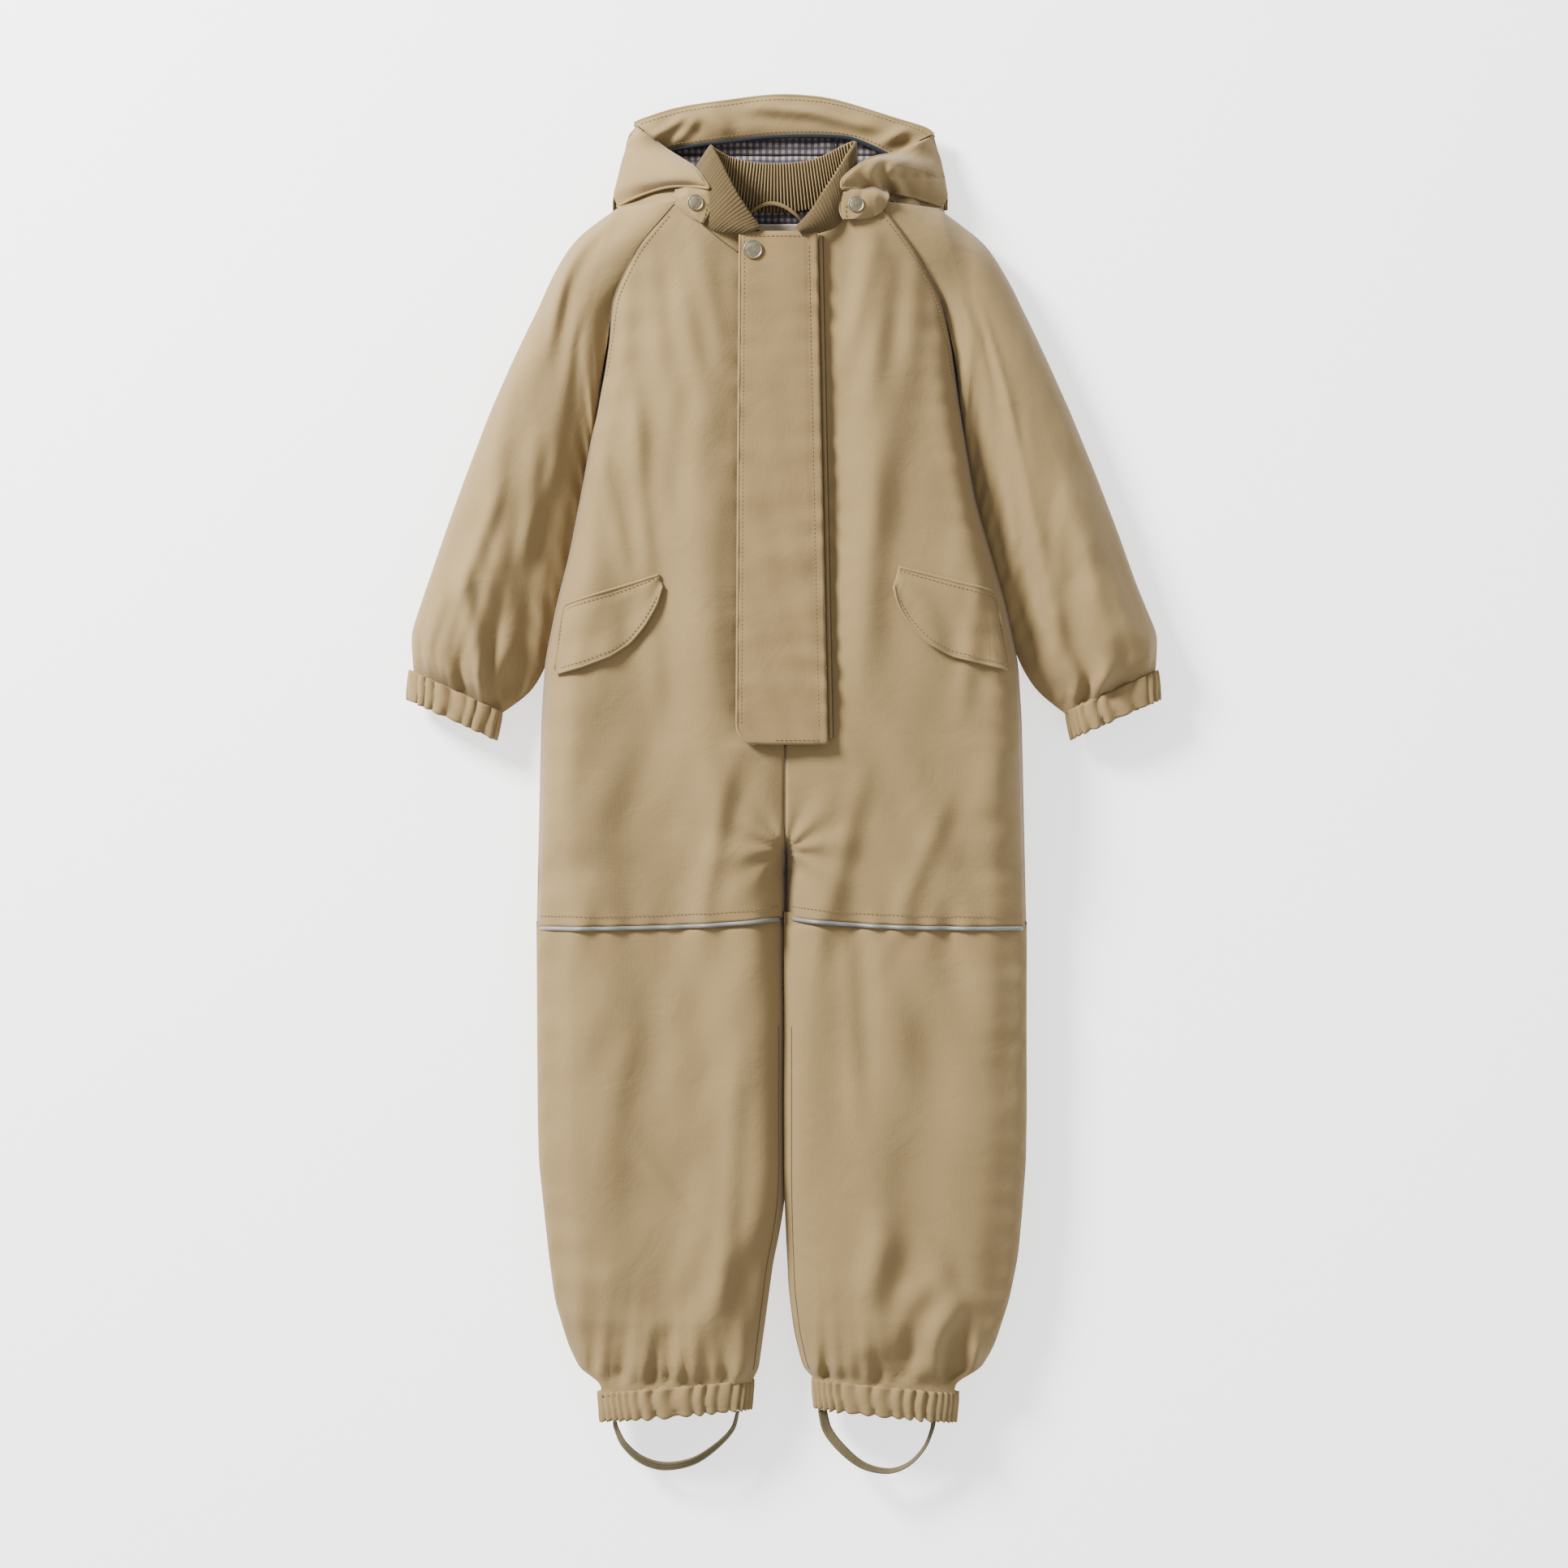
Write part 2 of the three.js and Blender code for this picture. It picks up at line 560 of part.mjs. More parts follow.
// ---- storm flap, sewn along the wearer's left edge ----
const PLACKET_R = 14;
const placket = [[-31, 378.5]];
for (let i = 0; i <= 5; i += 1) {
  const a = Math.PI + (Math.PI / 2) * (i / 5);
  placket.push([-33.2 + PLACKET_R + PLACKET_R * Math.cos(a), 27.4 + PLACKET_R + PLACKET_R * Math.sin(a)]);
}
placket.push([29.4, 27.4], [22.1, 378.5]);
add('storm_flap', flat(placket, PLACKET_Z, PLACKET_T), SHELL);
add('storm_flap_welt', flat([[22.4, 28.4], [28.6, 28.4], [21.4, 377], [15.6, 377]], CHEST_Z + 0.35, 2.1), SHELL);

// ---- snap fasteners ----
function turned(profile, x, y, z) {
  const geometry = new THREE.LatheGeometry(profile.map((p) => new THREE.Vector2(p[0], p[1])), 14);
  geometry.rotateX(Math.PI / 2);
  geometry.translate(x, y, z);
  return geometry;
}
function cap(radius) {
  return [[0, 0], [radius, 0], [radius, 0.9], [radius - 0.5, 1.5], [radius - 1.2, 1.4], [0, 2.1]];
}
function stud(top) {
  return [[0, 0], [4, 0], [4, 0.6], [1.8, 0.9], [1.8, top - 0.8], [2.3, top - 0.4], [2, top], [0, top]];
}
add('storm_flap_snap_cap', turned(cap(6.6), -22, 365.7, PLACKET_Z + PLACKET_T + 0.3), METAL);
add('storm_flap_snap_stud', turned(stud(2.1), -22, 365.7, CHEST_Z + 0.35), METAL);
for (const [name, side] of Object.entries(SIDES)) {
  const [x, y] = side.snap;
  add(`${name}_hood_snap_cap`, turned(cap(5.6), side.sign * x, y, TAB_Z + 1.5), METAL);
  add(`${name}_hood_snap_stud`, turned(stud(3.2), side.sign * x, y, TAB_Z - 3.5), METAL);
  add(`${name}_hood_tab`, flat(side.tab.map((p) => [side.sign * p[0], p[1]]), TAB_Z, 1.2), SHELL);
}

// ---- hood: lower part and side wings stay, the crown folds up ----
function hoodFloorZ(x, edge) {
  return SHELL_T + 11 * Math.exp(-Math.max(0, edge - Math.abs(x)) / 14);
}

function hoodWidth(side, y) {
  const list = side.hoodOuter.concat(side.hoodTop).map((p) => [p[1], p[0]]);
  return look(list, y);
}

function hoodFloor(y0, y1, inset, rise) {
  return (u, v) => {
    const s = Math.sin((Math.PI / 2) * (2 * u - 1));
    const side = s < 0 ? SIDES.right : SIDES.left;
    const guess = Math.abs(s) * 112;
    const low = y0(guess);
    const y = lerp(low, y1, v);
    const edge = hoodWidth(side, y);
    const x = s * (edge - inset);
    return new THREE.Vector3(x, y, hoodFloorZ(x, edge) + rise);
  };
}
const neckCurve = (x) => 397 + 8 * Math.min(1, x / 70) ** 2;
add('hood_lower_shell', sheet(12, 2, hoodFloor(neckCurve, HOOD_FOLD_Y - 0.7, 0, 0), SHELL_T), SHELL);
add('hood_lining', sheet(12, 2, hoodFloor((x) => neckCurve(x) + 2, HOOD_FOLD_Y - 0.8, 5, 2.4), LINING_T), LINING);

for (const [name, side] of Object.entries(SIDES)) {
  const right = side.sign < 0;
  const shift = right ? 0 : -9;
  const rim = [[59, 409.5], [65, 418], [73, 427], [84, HOOD_FOLD_Y - 0.7]].map((p) => [p[0] + shift, p[1]]);
  const wing = (u, v) => {
    const outer = along(side.hoodOuter, v);
    const inner = along(rim, v);
    const p = outer.clone().lerp(inner, u);
    const lift = lerp(44, 0.5, smooth(0, 1, v));
    return new THREE.Vector3(side.sign * p.x, p.y, 15 + lift * u ** 1.3);
  };
  add(`${name}_hood_wing`, sheet(5, 4, facing(wing, !right), SHELL_T), SHELL);
}

// the crown wraps from the fold corner under the hood and up to the other corner
const crown = (u, v) => {
  const y = lerp(HOOD_FOLD_Y + 0.7, 476, v);
  const left = u > 0.5;
  const side = left ? SIDES.left : SIDES.right;
  const edge = hoodWidth(side, y);
  const k = Math.abs(2 * u - 1);
  const lap = 2 + 24 * (1 - smooth(HOOD_FOLD_Y, 458, y));
  const side3 = [[0, 1], [edge - 18, 2.4], [edge - 2, 5.5], [edge, 9.5], [edge - 2, 13.6], [edge - lap, 15]];
  const stop = [0, 0.55, 0.72, 0.8, 0.88, 1];
  let i = 1;
  while (i < 5 && k > stop[i]) i += 1;
  const t = (k - stop[i - 1]) / (stop[i] - stop[i - 1]);
  const x = lerp(side3[i - 1][0], side3[i][0], t);
  const z = lerp(side3[i - 1][1], side3[i][1], t);
  return new THREE.Vector3(side.sign * x, y, z);
};
add('hood_crown_shell', sheet(16, 3, crown, SHELL_T), SHELL);

const bindingLine = [[-80, 440.4], [-62, 442.5], [-30, 448.5], [-8, 450.3], [32, 449.5], [52, 445.5], [70, 440.4]];
const topLine = [[-100, 459], [-78, 466], [-40, 473], [-4, 477.5], [36, 474], [70, 466.5], [92, 456.5]];
const facingBand = (u, v) => {
  const low = along(bindingLine, u);
  const high = along(topLine, u);
  const p = low.lerp(high, v);
  return new THREE.Vector3(p.x, p.y, 12.4 + 3.2 * Math.sin(Math.PI * v) - 2.6 * v);
};
add('hood_facing_band', sheet(12, 2, facingBand, SHELL_T), SHELL);
const binding = (u, v) => {
  const p = along(bindingLine, u);
  return new THREE.Vector3(p.x, p.y - 0.5 - 2.6 * (1 - v), 13.2);
};
add('hood_elastic_binding', sheet(12, 1, binding, 1.4), NAVY);
const crownLining = (u, v) => {
  const s = Math.sin((Math.PI / 2) * (2 * u - 1));
  const y = lerp(HOOD_FOLD_Y + 0.8, 470 - 10 * s ** 4, v);
  return new THREE.Vector3(-4 + s * 76, y, 4.6 + 3.4 * v);
};
add('hood_crown_lining', sheet(8, 2, crownLining, LINING_T), LINING);

export default suit;
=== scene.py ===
"""A child's hooded outdoor coverall lying on its back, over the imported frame.

Shapes are worked out in millimetres in the row frame and handed to Blender in metres.
"""
import json
import math

import bpy
import numpy as np
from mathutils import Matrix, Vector


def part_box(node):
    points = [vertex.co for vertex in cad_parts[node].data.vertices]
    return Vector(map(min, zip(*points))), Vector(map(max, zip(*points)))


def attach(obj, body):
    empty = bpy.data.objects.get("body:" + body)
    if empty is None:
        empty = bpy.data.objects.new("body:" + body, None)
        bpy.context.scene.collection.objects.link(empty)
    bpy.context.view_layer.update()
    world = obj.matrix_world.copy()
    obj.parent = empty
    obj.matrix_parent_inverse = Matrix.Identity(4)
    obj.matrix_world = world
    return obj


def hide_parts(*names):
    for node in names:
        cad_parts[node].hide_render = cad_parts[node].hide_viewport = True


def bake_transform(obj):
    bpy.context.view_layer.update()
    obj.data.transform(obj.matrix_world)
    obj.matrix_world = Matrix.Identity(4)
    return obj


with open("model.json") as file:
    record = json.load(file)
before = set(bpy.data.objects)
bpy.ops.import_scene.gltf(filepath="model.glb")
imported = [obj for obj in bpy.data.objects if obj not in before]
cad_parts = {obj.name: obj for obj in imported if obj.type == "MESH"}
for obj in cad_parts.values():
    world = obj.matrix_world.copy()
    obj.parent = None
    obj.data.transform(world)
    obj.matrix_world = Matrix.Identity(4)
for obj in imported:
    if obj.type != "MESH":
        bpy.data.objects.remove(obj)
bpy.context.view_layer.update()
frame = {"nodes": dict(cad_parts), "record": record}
NODES = frame["nodes"]
JOINTS = {j["name"]: j for j in frame["record"]["behaviour"]["joints"]}
MM = 0.001
RIGHT, LEFT = -1, 1
NAMES = {RIGHT: "right", LEFT: "left"}


def node_box(name):
    """Low and high corner of a CAD node, in mm."""
    low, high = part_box(name)
    return np.array(low) / MM, np.array(high) / MM


# ---------------------------------------------------------------- sizes, mm
SHELL_T = 0.8        # wall of the shell cloth
SEAM_Z = 24.0        # height of the side seams
CHEST_Z = 56.0       # height of the chest
KNEE_Y = node_box("right_front_panel")[0][1]
UNDERARM_Y = node_box("right_sleeve_front")[1][1] - 42
RAGLAN_TOP_Y = node_box("right_front_panel")[1][1]
NECK_Y = node_box("storm_flap")[1][1]
FLAP_LOW, FLAP_HIGH = node_box("storm_flap")
HOOD_FOLD_Y = node_box("hood_crown_shell")[0][1] - 0.7
PIPING_W = 2.4
STITCH_PITCH = 2.9
RIB_PITCH = 2.25
ANKLE_Y = -411       # the lower end of the legs' outlines
LEG_GAP_Y = (-335, -262)  # the legs stand apart below the first and touch above the second
CROTCH_Y = (-62, -36)     # the front is two legs below the first and one torso above the second
ZIP_END_Y = (30, 44)      # the front's halves part above these for the zip


# ---------------------------------------------------------------- arithmetic
def smooth(a, b, x):
    """0 before a, 1 past b, and a smooth step between them."""
    t = np.clip((np.asarray(x, float) - a) / (b - a), 0, 1)
    return t * t * (3 - 2 * t)


def mix(a, b, t):
    """a at t = 0, b at t = 1."""
    return a + (b - a) * t


def puff(distance, reach, power=0.7):
    """0 at a folded edge, 1 in the middle of a panel."""
    return (1 - np.exp(-np.maximum(0, distance) / reach)) ** power


def blur(values, width):
    """A smoothed copy of a row of values."""
    kernel = np.exp(-np.linspace(-2, 2, 2 * width + 1) ** 2)
    padded = np.pad(values, width, mode="reflect", reflect_type="odd")
    return np.convolve(padded, kernel / kernel.sum(), mode="valid")


def folds(a, b, length, seed, count=5):
    """Irregular soft folds about 1 high that run along b, a fold length apart across a."""
    rng = np.random.default_rng(seed)
    total = np.zeros(np.broadcast(a, b).shape)
    for _ in range(count):
        wave = length * rng.uniform(0.7, 1.5)
        sway = length * 0.45 * np.sin(b / (length * rng.uniform(1.2, 2.6)) + rng.uniform(0, 6.3))
        fade = 0.5 + 0.5 * np.sin(b / (length * rng.uniform(0.8, 2.2)) + rng.uniform(0, 6.3))
        lean = rng.normal(0, 0.15)
        total += fade * np.sin(2 * math.pi * (a + lean * b + sway) / wave + rng.uniform(0, 6.3))
    return total / math.sqrt(count)


def gathers(a, b, length, reach, seed, count=4):
    """Pleats of irregular width and reach that start at b = 0 and die out along b."""
    rng = np.random.default_rng(seed)
    total = np.zeros(np.broadcast(a, b).shape)
    for _ in range(count):
        wave = length * rng.uniform(0.75, 1.6)
        local = reach * (0.75 + 0.45 * np.sin(a / (length * 1.7) + rng.uniform(0, 6.3)))
        drift = 0.12 * b * np.sin(a / (length * 3) + rng.uniform(0, 6.3))
        total += np.exp(-b / local) * np.sin(2 * math.pi * (a + drift) / wave + rng.uniform(0, 6.3))
    return total / math.sqrt(count)


def run_length(line):
    """The distance run along a line at each of its points."""
    return np.concatenate([[0], np.cumsum(np.linalg.norm(np.diff(line, axis=0), axis=1))])


def smooth_line(points, count):
    """count points on a smooth line through the given ones (Catmull-Rom)."""
    p = np.array(points, float)
    p = np.vstack([2 * p[0] - p[1], p, 2 * p[-1] - p[-2]])
    out = []
    for t in np.linspace(0, len(p) - 3 - 1e-9, count):
        i = int(t)
        f = t - i
        a, b, c, d = p[i], p[i + 1], p[i + 2], p[i + 3]
        out.append(0.5 * (2 * b + (c - a) * f + (2 * a - 5 * b + 4 * c - d) * f * f
                          + (3 * b - a - 3 * c + d) * f ** 3))
    return np.array(out)


# ---------------------------------------------------------------- outlines read from the frame
def slices(names, along, across, at):
    """For each distance in at along a direction, the least and most of across on these CAD nodes."""
    low = np.full(len(at), np.inf)
    high = np.full(len(at), -np.inf)
    for name in names:
        mesh = NODES[name].data
        co = np.array([v.co for v in mesh.vertices]) / MM
        edges = np.array([e.vertices for e in mesh.edges])
        a, b = co[edges[:, 0]], co[edges[:, 1]]
        sa, sb = a @ along, b @ along
        ta, tb = a @ across, b @ across
        for i, s in enumerate(at):
            hit = (sa - s) * (sb - s) <= 0
            if hit.any():
                f = (s - sa[hit]) / np.where(sb[hit] == sa[hit], 1, sb[hit] - sa[hit])
                t = ta[hit] + np.clip(f, 0, 1) * (tb[hit] - ta[hit])
                low[i] = min(low[i], t.min())
                high[i] = max(high[i], t.max())
    found = np.isfinite(low)
    return np.interp(at, at[found], low[found]), np.interp(at, at[found], high[found])


X_AXIS, Y_AXIS = np.array([1.0, 0, 0]), np.array([0, 1.0, 0])
ROWS = np.linspace(KNEE_Y + 0.5, RAGLAN_TOP_Y - 0.5, 160)
SIDE_X = {
    RIGHT: blur(slices(["right_front_panel"], Y_AXIS, X_AXIS, ROWS)[0], 5),
    LEFT: blur(slices(["left_front_panel"], Y_AXIS, X_AXIS, ROWS)[1], 5),
}


def side_x(sign, y):
    """The side seam of the torso, and the raglan seam above the underarm."""
    return np.interp(y, ROWS, SIDE_X[sign])


# ---------------------------------------------------------------- meshes
def mesh_object(name, verts, faces):
    mesh = bpy.data.meshes.new(name)
    mesh.from_pydata(verts, [], faces)
    mesh.polygons.foreach_set("use_smooth", [True] * len(mesh.polygons))
    obj = bpy.data.objects.new(name, mesh)
    bpy.context.collection.objects.link(obj)
    return obj


def add_wall(obj, thickness):
    """Gives a skin a wall behind it, in mm."""
    wall = obj.modifiers.new("wall", "SOLIDIFY")
    wall.thickness = thickness * MM
    wall.offset = -1
    return bake(obj)


def grid_object(name, points, uv=None, closed=False, thickness=0.0):
    """A smooth quad mesh from a (rows, columns, 3) array in mm; uv is in metres along the cloth."""
    rows, cols = points.shape[:2]
    if uv is None:
        du = np.linalg.norm(np.diff(points, axis=1), axis=2)
        dv = np.linalg.norm(np.diff(points, axis=0), axis=2)
        u = np.hstack([np.zeros((rows, 1)), np.cumsum(du, axis=1)])
        v = np.vstack([np.zeros((1, cols)), np.cumsum(dv, axis=0)])
        u = u - u[:, cols // 2][:, None] + u[rows // 2, cols // 2]
        uv = np.stack([u, v], axis=2) * MM
    used = cols - 1 if closed else cols
    index = np.arange(rows * used).reshape(rows, used)
    verts = points[:, :used].reshape(-1, 3) * MM
    j, i = np.mgrid[:rows - 1, :cols - 1].reshape(2, -1)
    k = (i + 1) % used
    faces = np.column_stack([index[j, i], index[j, k], index[j + 1, k], index[j + 1, i]])
    loops = np.stack([uv[j, i], uv[j, i + 1], uv[j + 1, i + 1], uv[j + 1, i]], axis=1)
    obj = mesh_object(name, verts.tolist(), faces.tolist())
    layer = obj.data.uv_layers.new(name="UVMap")
    layer.data.foreach_set("uv", loops.astype(np.float32).ravel())
    return add_wall(obj, thickness) if thickness else obj


def bake(obj):
    """Applies an object's modifiers."""
    bpy.context.view_layer.update()
    ready = obj.evaluated_get(bpy.context.evaluated_depsgraph_get())
    mesh = bpy.data.meshes.new_from_object(ready)
    obj.modifiers.clear()
    obj.data = mesh
    return obj


def normals_of(points):
    """Unit normals of a grid of points."""
    du = np.gradient(points, axis=1)
    dv = np.gradient(points, axis=0)
    n = np.cross(du, dv)
    return n / np.maximum(1e-9, np.linalg.norm(n, axis=2, keepdims=True))


def heading(line):
    """The unit direction of a line at each of its points."""
    ahead = np.gradient(line, axis=0)
    return ahead / np.linalg.norm(ahead, axis=1, keepdims=True)


def tube(name, line, radius, sides=8, flat=1.0):
    """A closed tube along a line of mm points; flat squeezes it in height."""
    line = np.array(line, float)
    ahead = heading(line)
    side = np.cross(ahead, [0, 0, 1.0])
    side /= np.maximum(1e-9, np.linalg.norm(side, axis=1, keepdims=True))
    lift = np.cross(side, ahead)
    angle = np.linspace(0, 2 * math.pi, sides + 1)
    ring = (side[:, None] * np.cos(angle)[None, :, None]
            + lift[:, None] * flat * np.sin(angle)[None, :, None]) * radius
    points = line[:, None] + ring
    points = np.concatenate([line[:1, None].repeat(sides + 1, 1), points,
                             line[-1:, None].repeat(sides + 1, 1)])
    return grid_object(name, points, closed=True)


def stitches(name, line):
    """A row of thread stitches along a line of mm points that lie on the cloth."""
    line = np.array(line, float)
    length = run_length(line)
    lift = 0.25
    verts, faces = [], []
    count = max(1, int(length[-1] / STITCH_PITCH))
    for k in range(count):
        ends = [(k + f) * length[-1] / count for f in (0.14, 0.5, 0.86)]
        p = np.array([[np.interp(e, length, line[:, d]) for d in range(3)] for e in ends])
        ahead = p[2] - p[0]
        ahead /= max(1e-9, np.linalg.norm(ahead))
        side = np.cross(ahead, [0, 0, 1.0])
        side /= max(1e-9, np.linalg.norm(side))
        up = np.cross(side, ahead)
        base = len(verts)
        for q, r, h in zip(p, (0.1, 0.3, 0.1), (0.0, 1.0, 0.0)):
            centre = q + up * lift * h
            for a in (0, 90, 180, 270):
                c, s = math.cos(math.radians(a)), math.sin(math.radians(a))
                verts.append((centre + side * r * c + up * r * s) * MM)
        for ring in (0, 4):
            for i in range(4):
                j = (i + 1) % 4
                faces.append((base + ring + i, base + ring + j, base + ring + 4 + j, base + ring + 4 + i))
        faces.append(tuple(base + i for i in (3, 2, 1, 0)))
        faces.append(tuple(base + 8 + i for i in (0, 1, 2, 3)))
    return mesh_object(name, [tuple(v) for v in verts], faces)


# ---------------------------------------------------------------- materials
class Nodes:
    """A short way to write a material's node tree."""

    def __init__(self, name):
        self.material = bpy.data.materials.new(name)
        self.material.use_nodes = True
        self.tree = self.material.node_tree
        self.shader = self.tree.nodes["Principled BSDF"]

    def add(self, kind, inputs=None, **settings):
        """A node with these settings; an input is a value or another node's output."""
        node = self.tree.nodes.new(kind)
        for key, value in settings.items():
            setattr(node, key, value)
        for key, value in (inputs or {}).items():
            if isinstance(value, bpy.types.NodeSocket):
                self.tree.links.new(value, node.inputs[key])
            else:
                node.inputs[key].default_value = value
        return node

    def link(self, output, target):
        self.tree.links.new(output, self.shader.inputs[target])

    def math(self, operation, a, b=0.0):
        return self.add("ShaderNodeMath", {0: a, 1: b}, operation=operation).outputs[0]

    def stripes(self, coordinate, axis, pitch):
        """0..1 sine bands a pitch apart, in metres, along one axis."""
        part = self.add("ShaderNodeSeparateXYZ", {0: coordinate}).outputs[axis]
        wave = self.math("SINE", self.math("MULTIPLY", part, 2 * math.pi / pitch))
        return self.math("ADD", self.math("MULTIPLY", wave, 0.5), 0.5)

    def noise(self, vector, scale, detail, output=0, **settings):
        inputs = {"Vector": vector, "Scale": scale, "Detail": detail, **settings}
        return self.add("ShaderNodeTexNoise", inputs).outputs[output]

    def fix(self, **values):
        """Constant values on the shader's own sockets; an underscore stands for a space in a name."""
        for socket, value in values.items():
            self.shader.inputs[socket.replace("_", " ")].default_value = value

    def blend(self, factor, a, b):
        """A colour between a and b."""
        node = self.add("ShaderNodeMix", {"Factor": factor}, data_type="RGBA")
        for socket, value in ((node.inputs[6], a), (node.inputs[7], b)):
            if isinstance(value, bpy.types.NodeSocket):
                self.tree.links.new(value, socket)
            else:
                socket.default_value = (*value, 1)
        return node.outputs[2]

    def bump(self, height, distance, strength=1.0, under=None):
        node = self.add("ShaderNodeBump", {"Height": height, "Distance": distance, "Strength": strength})
        if under:
            self.tree.links.new(under, node.inputs["Normal"])
        return node.outputs["Normal"]


def shade(colour, k):
    return tuple(c * k for c in colour)


def cloth_material(name, colour, weave=0.0007, mottle=0.07, depth=0.00008):
    """Plain woven cloth: crossed threads, a slow change of tone, and small slubs."""
    m = Nodes(name)
    uv = m.add("ShaderNodeTexCoord").outputs["UV"]
    cloud = m.noise(uv, 11.0, 4.0)
    slub = m.noise(uv, 420.0, 2.0)
    tone = m.blend(cloud, shade(colour, 1 - mottle), shade(colour, 1 + mottle))
    warp = m.stripes(uv, 0, weave)
    weft = m.stripes(uv, 1, weave)
    threads = m.math("ADD", m.math("MULTIPLY", warp, 0.5), m.math("MULTIPLY", weft, 0.5))
    tone = m.blend(m.math("MULTIPLY", slub, 0.22), tone, shade(colour, 0.72))
    m.link(m.blend(m.math("MULTIPLY", threads, 0.12), tone, shade(colour, 1.25)), "Base Color")
    m.fix(Roughness=0.88, Sheen_Weight=0.12, Sheen_Roughness=0.5, Specular_IOR_Level=0.25)
    crumple = m.noise(uv, 26.0, 4.0, Distortion=0.7)
    soft = m.bump(crumple, 0.0026, 0.45, under=m.bump(cloud, 0.0016, 0.4))
    m.link(m.bump(m.math("ADD", threads, slub), depth, 0.8, under=soft), "Normal")
    return m.material


def gingham_material(name, pitch):
    """Navy and off-white checks woven in, a half-tone where only one thread is dark."""
    m = Nodes(name)
    uv = m.add("ShaderNodeTexCoord").outputs["UV"]
    wobble = m.noise(uv, 60.0, 1.0, 1)
    bend = m.add("ShaderNodeMix", {"Factor": 0.0006, 4: uv, 5: wobble}, data_type="VECTOR").outputs[1]
    bands = []
    for axis in (0, 1):
        band = m.add("ShaderNodeMapRange", {0: m.stripes(bend, axis, pitch), 1: 0.46, 2: 0.54})
        bands.append(band.outputs[0])
    both = m.math("MULTIPLY", m.math("ADD", bands[0], bands[1]), 0.5)
    ramp = m.add("ShaderNodeValToRGB", {0: both})
    ramp.color_ramp.elements[0].color = (0.27, 0.215, 0.17, 1)
    ramp.color_ramp.elements[1].color = (0.014, 0.016, 0.034, 1)
    middle = ramp.color_ramp.elements.new(0.5)
    middle.color = (0.066, 0.055, 0.068, 1)
    slub = m.noise(uv, 900.0, 2.0)
    m.link(m.blend(m.math("MULTIPLY", slub, 0.3), ramp.outputs[0], (0.10, 0.09, 0.10)), "Base Color")
    m.fix(Roughness=0.95, Sheen_Weight=0.15)
    m.link(m.bump(slub, 0.0002, 0.8), "Normal")
    return m.material


def rib_material(name, colour, pitch):
    """Knitted rib: rounded wales a pitch apart along U, loops along each; the grooves between the wales are painted
    darker, as painted shade.
    """
    m = Nodes(name)
    uv = m.add("ShaderNodeTexCoord").outputs["UV"]
    wale = m.stripes(uv, 0, pitch)
    loops = m.stripes(uv, 1, 0.0011)
    fuzz = m.noise(uv, 1500.0, 3.0)
    # painted shade: the grooves between the wales are far darker than the yarn, the wales' tops lighter
    tone = m.blend(wale, shade(colour, 0.20), shade(colour, 1.12))
    m.link(m.blend(m.math("MULTIPLY", fuzz, 0.3), tone, shade(colour, 0.75)), "Base Color")
    m.fix(Roughness=0.95, Sheen_Weight=0.06, Specular_IOR_Level=0.2)
    height = m.math("ADD", wale, m.math("MULTIPLY", loops, 0.15))
    m.link(m.bump(height, 0.0007, 1.0, under=m.bump(fuzz, 0.0002, 0.6)), "Normal")
    return m.material


def metal_material(name, colour, roughness):
    """Antique plated metal: brushed, with random darker and lighter patches."""
    m = Nodes(name)
    place = m.add("ShaderNodeTexCoord").outputs["Object"]
    stretch = m.add("ShaderNodeMapping", {0: place, 3: (300, 2500, 300)}).outputs[0]
    brush = m.noise(stretch, 1.0, 3.0)
    age = m.noise(place, 380.0, 3.0)
    m.link(m.blend(age, shade(colour, 0.55), shade(colour, 1.25)), "Base Color")
    m.fix(Metallic=0.95)
    rough = m.add("ShaderNodeMapRange", {0: age, 3: roughness - 0.08, 4: roughness + 0.16}).outputs[0]
    m.link(rough, "Roughness")
    m.link(m.bump(brush, 0.00008, 0.7), "Normal")
    return m.material


def reflective_material(name, colour):
    """Glass-bead reflective tape on a grey cloth: each bead is painted lighter in its middle, a painted glint, over
    a fine bump.
    """
    m = Nodes(name)
    uv = m.add("ShaderNodeTexCoord").outputs["UV"]
    beads_and_glint = m.add("ShaderNodeTexVoronoi", {"Vector": uv, "Scale": 1800.0}).outputs[0]
    # painted glint: each bead's middle is lighter than its edge
    m.link(m.blend(beads_and_glint, shade(colour, 1.2), shade(colour, 0.75)), "Base Color")
    m.fix(Roughness=0.42, Specular_IOR_Level=0.6)
    m.link(m.bump(beads_and_glint, 0.0001, 0.7), "Normal")
    return m.material


def backdrop_material(name, colour):
    """Matte studio paper with a barely visible grain."""
    m = Nodes(name)
    place = m.add("ShaderNodeTexCoord").outputs["Object"]
    grain = m.noise(place, 600.0, 2.0)
    m.link(m.blend(grain, shade(colour, 0.992), shade(colour, 1.008)), "Base Color")
    m.fix(Emission_Color=(1, 1, 1, 1), Emission_Strength=1.3, Roughness=0.9, Specular_IOR_Level=0.1)
    return m.material


# each look is a material and the name of a slot
SAND = (0.205, 0.141, 0.060)
SHELL = cloth_material("shell_cloth", SAND), "shell_fabric"
SHELL_FLAP = cloth_material("storm_flap_cloth", (0.188, 0.126, 0.053), mottle=0.11), "shell_fabric"
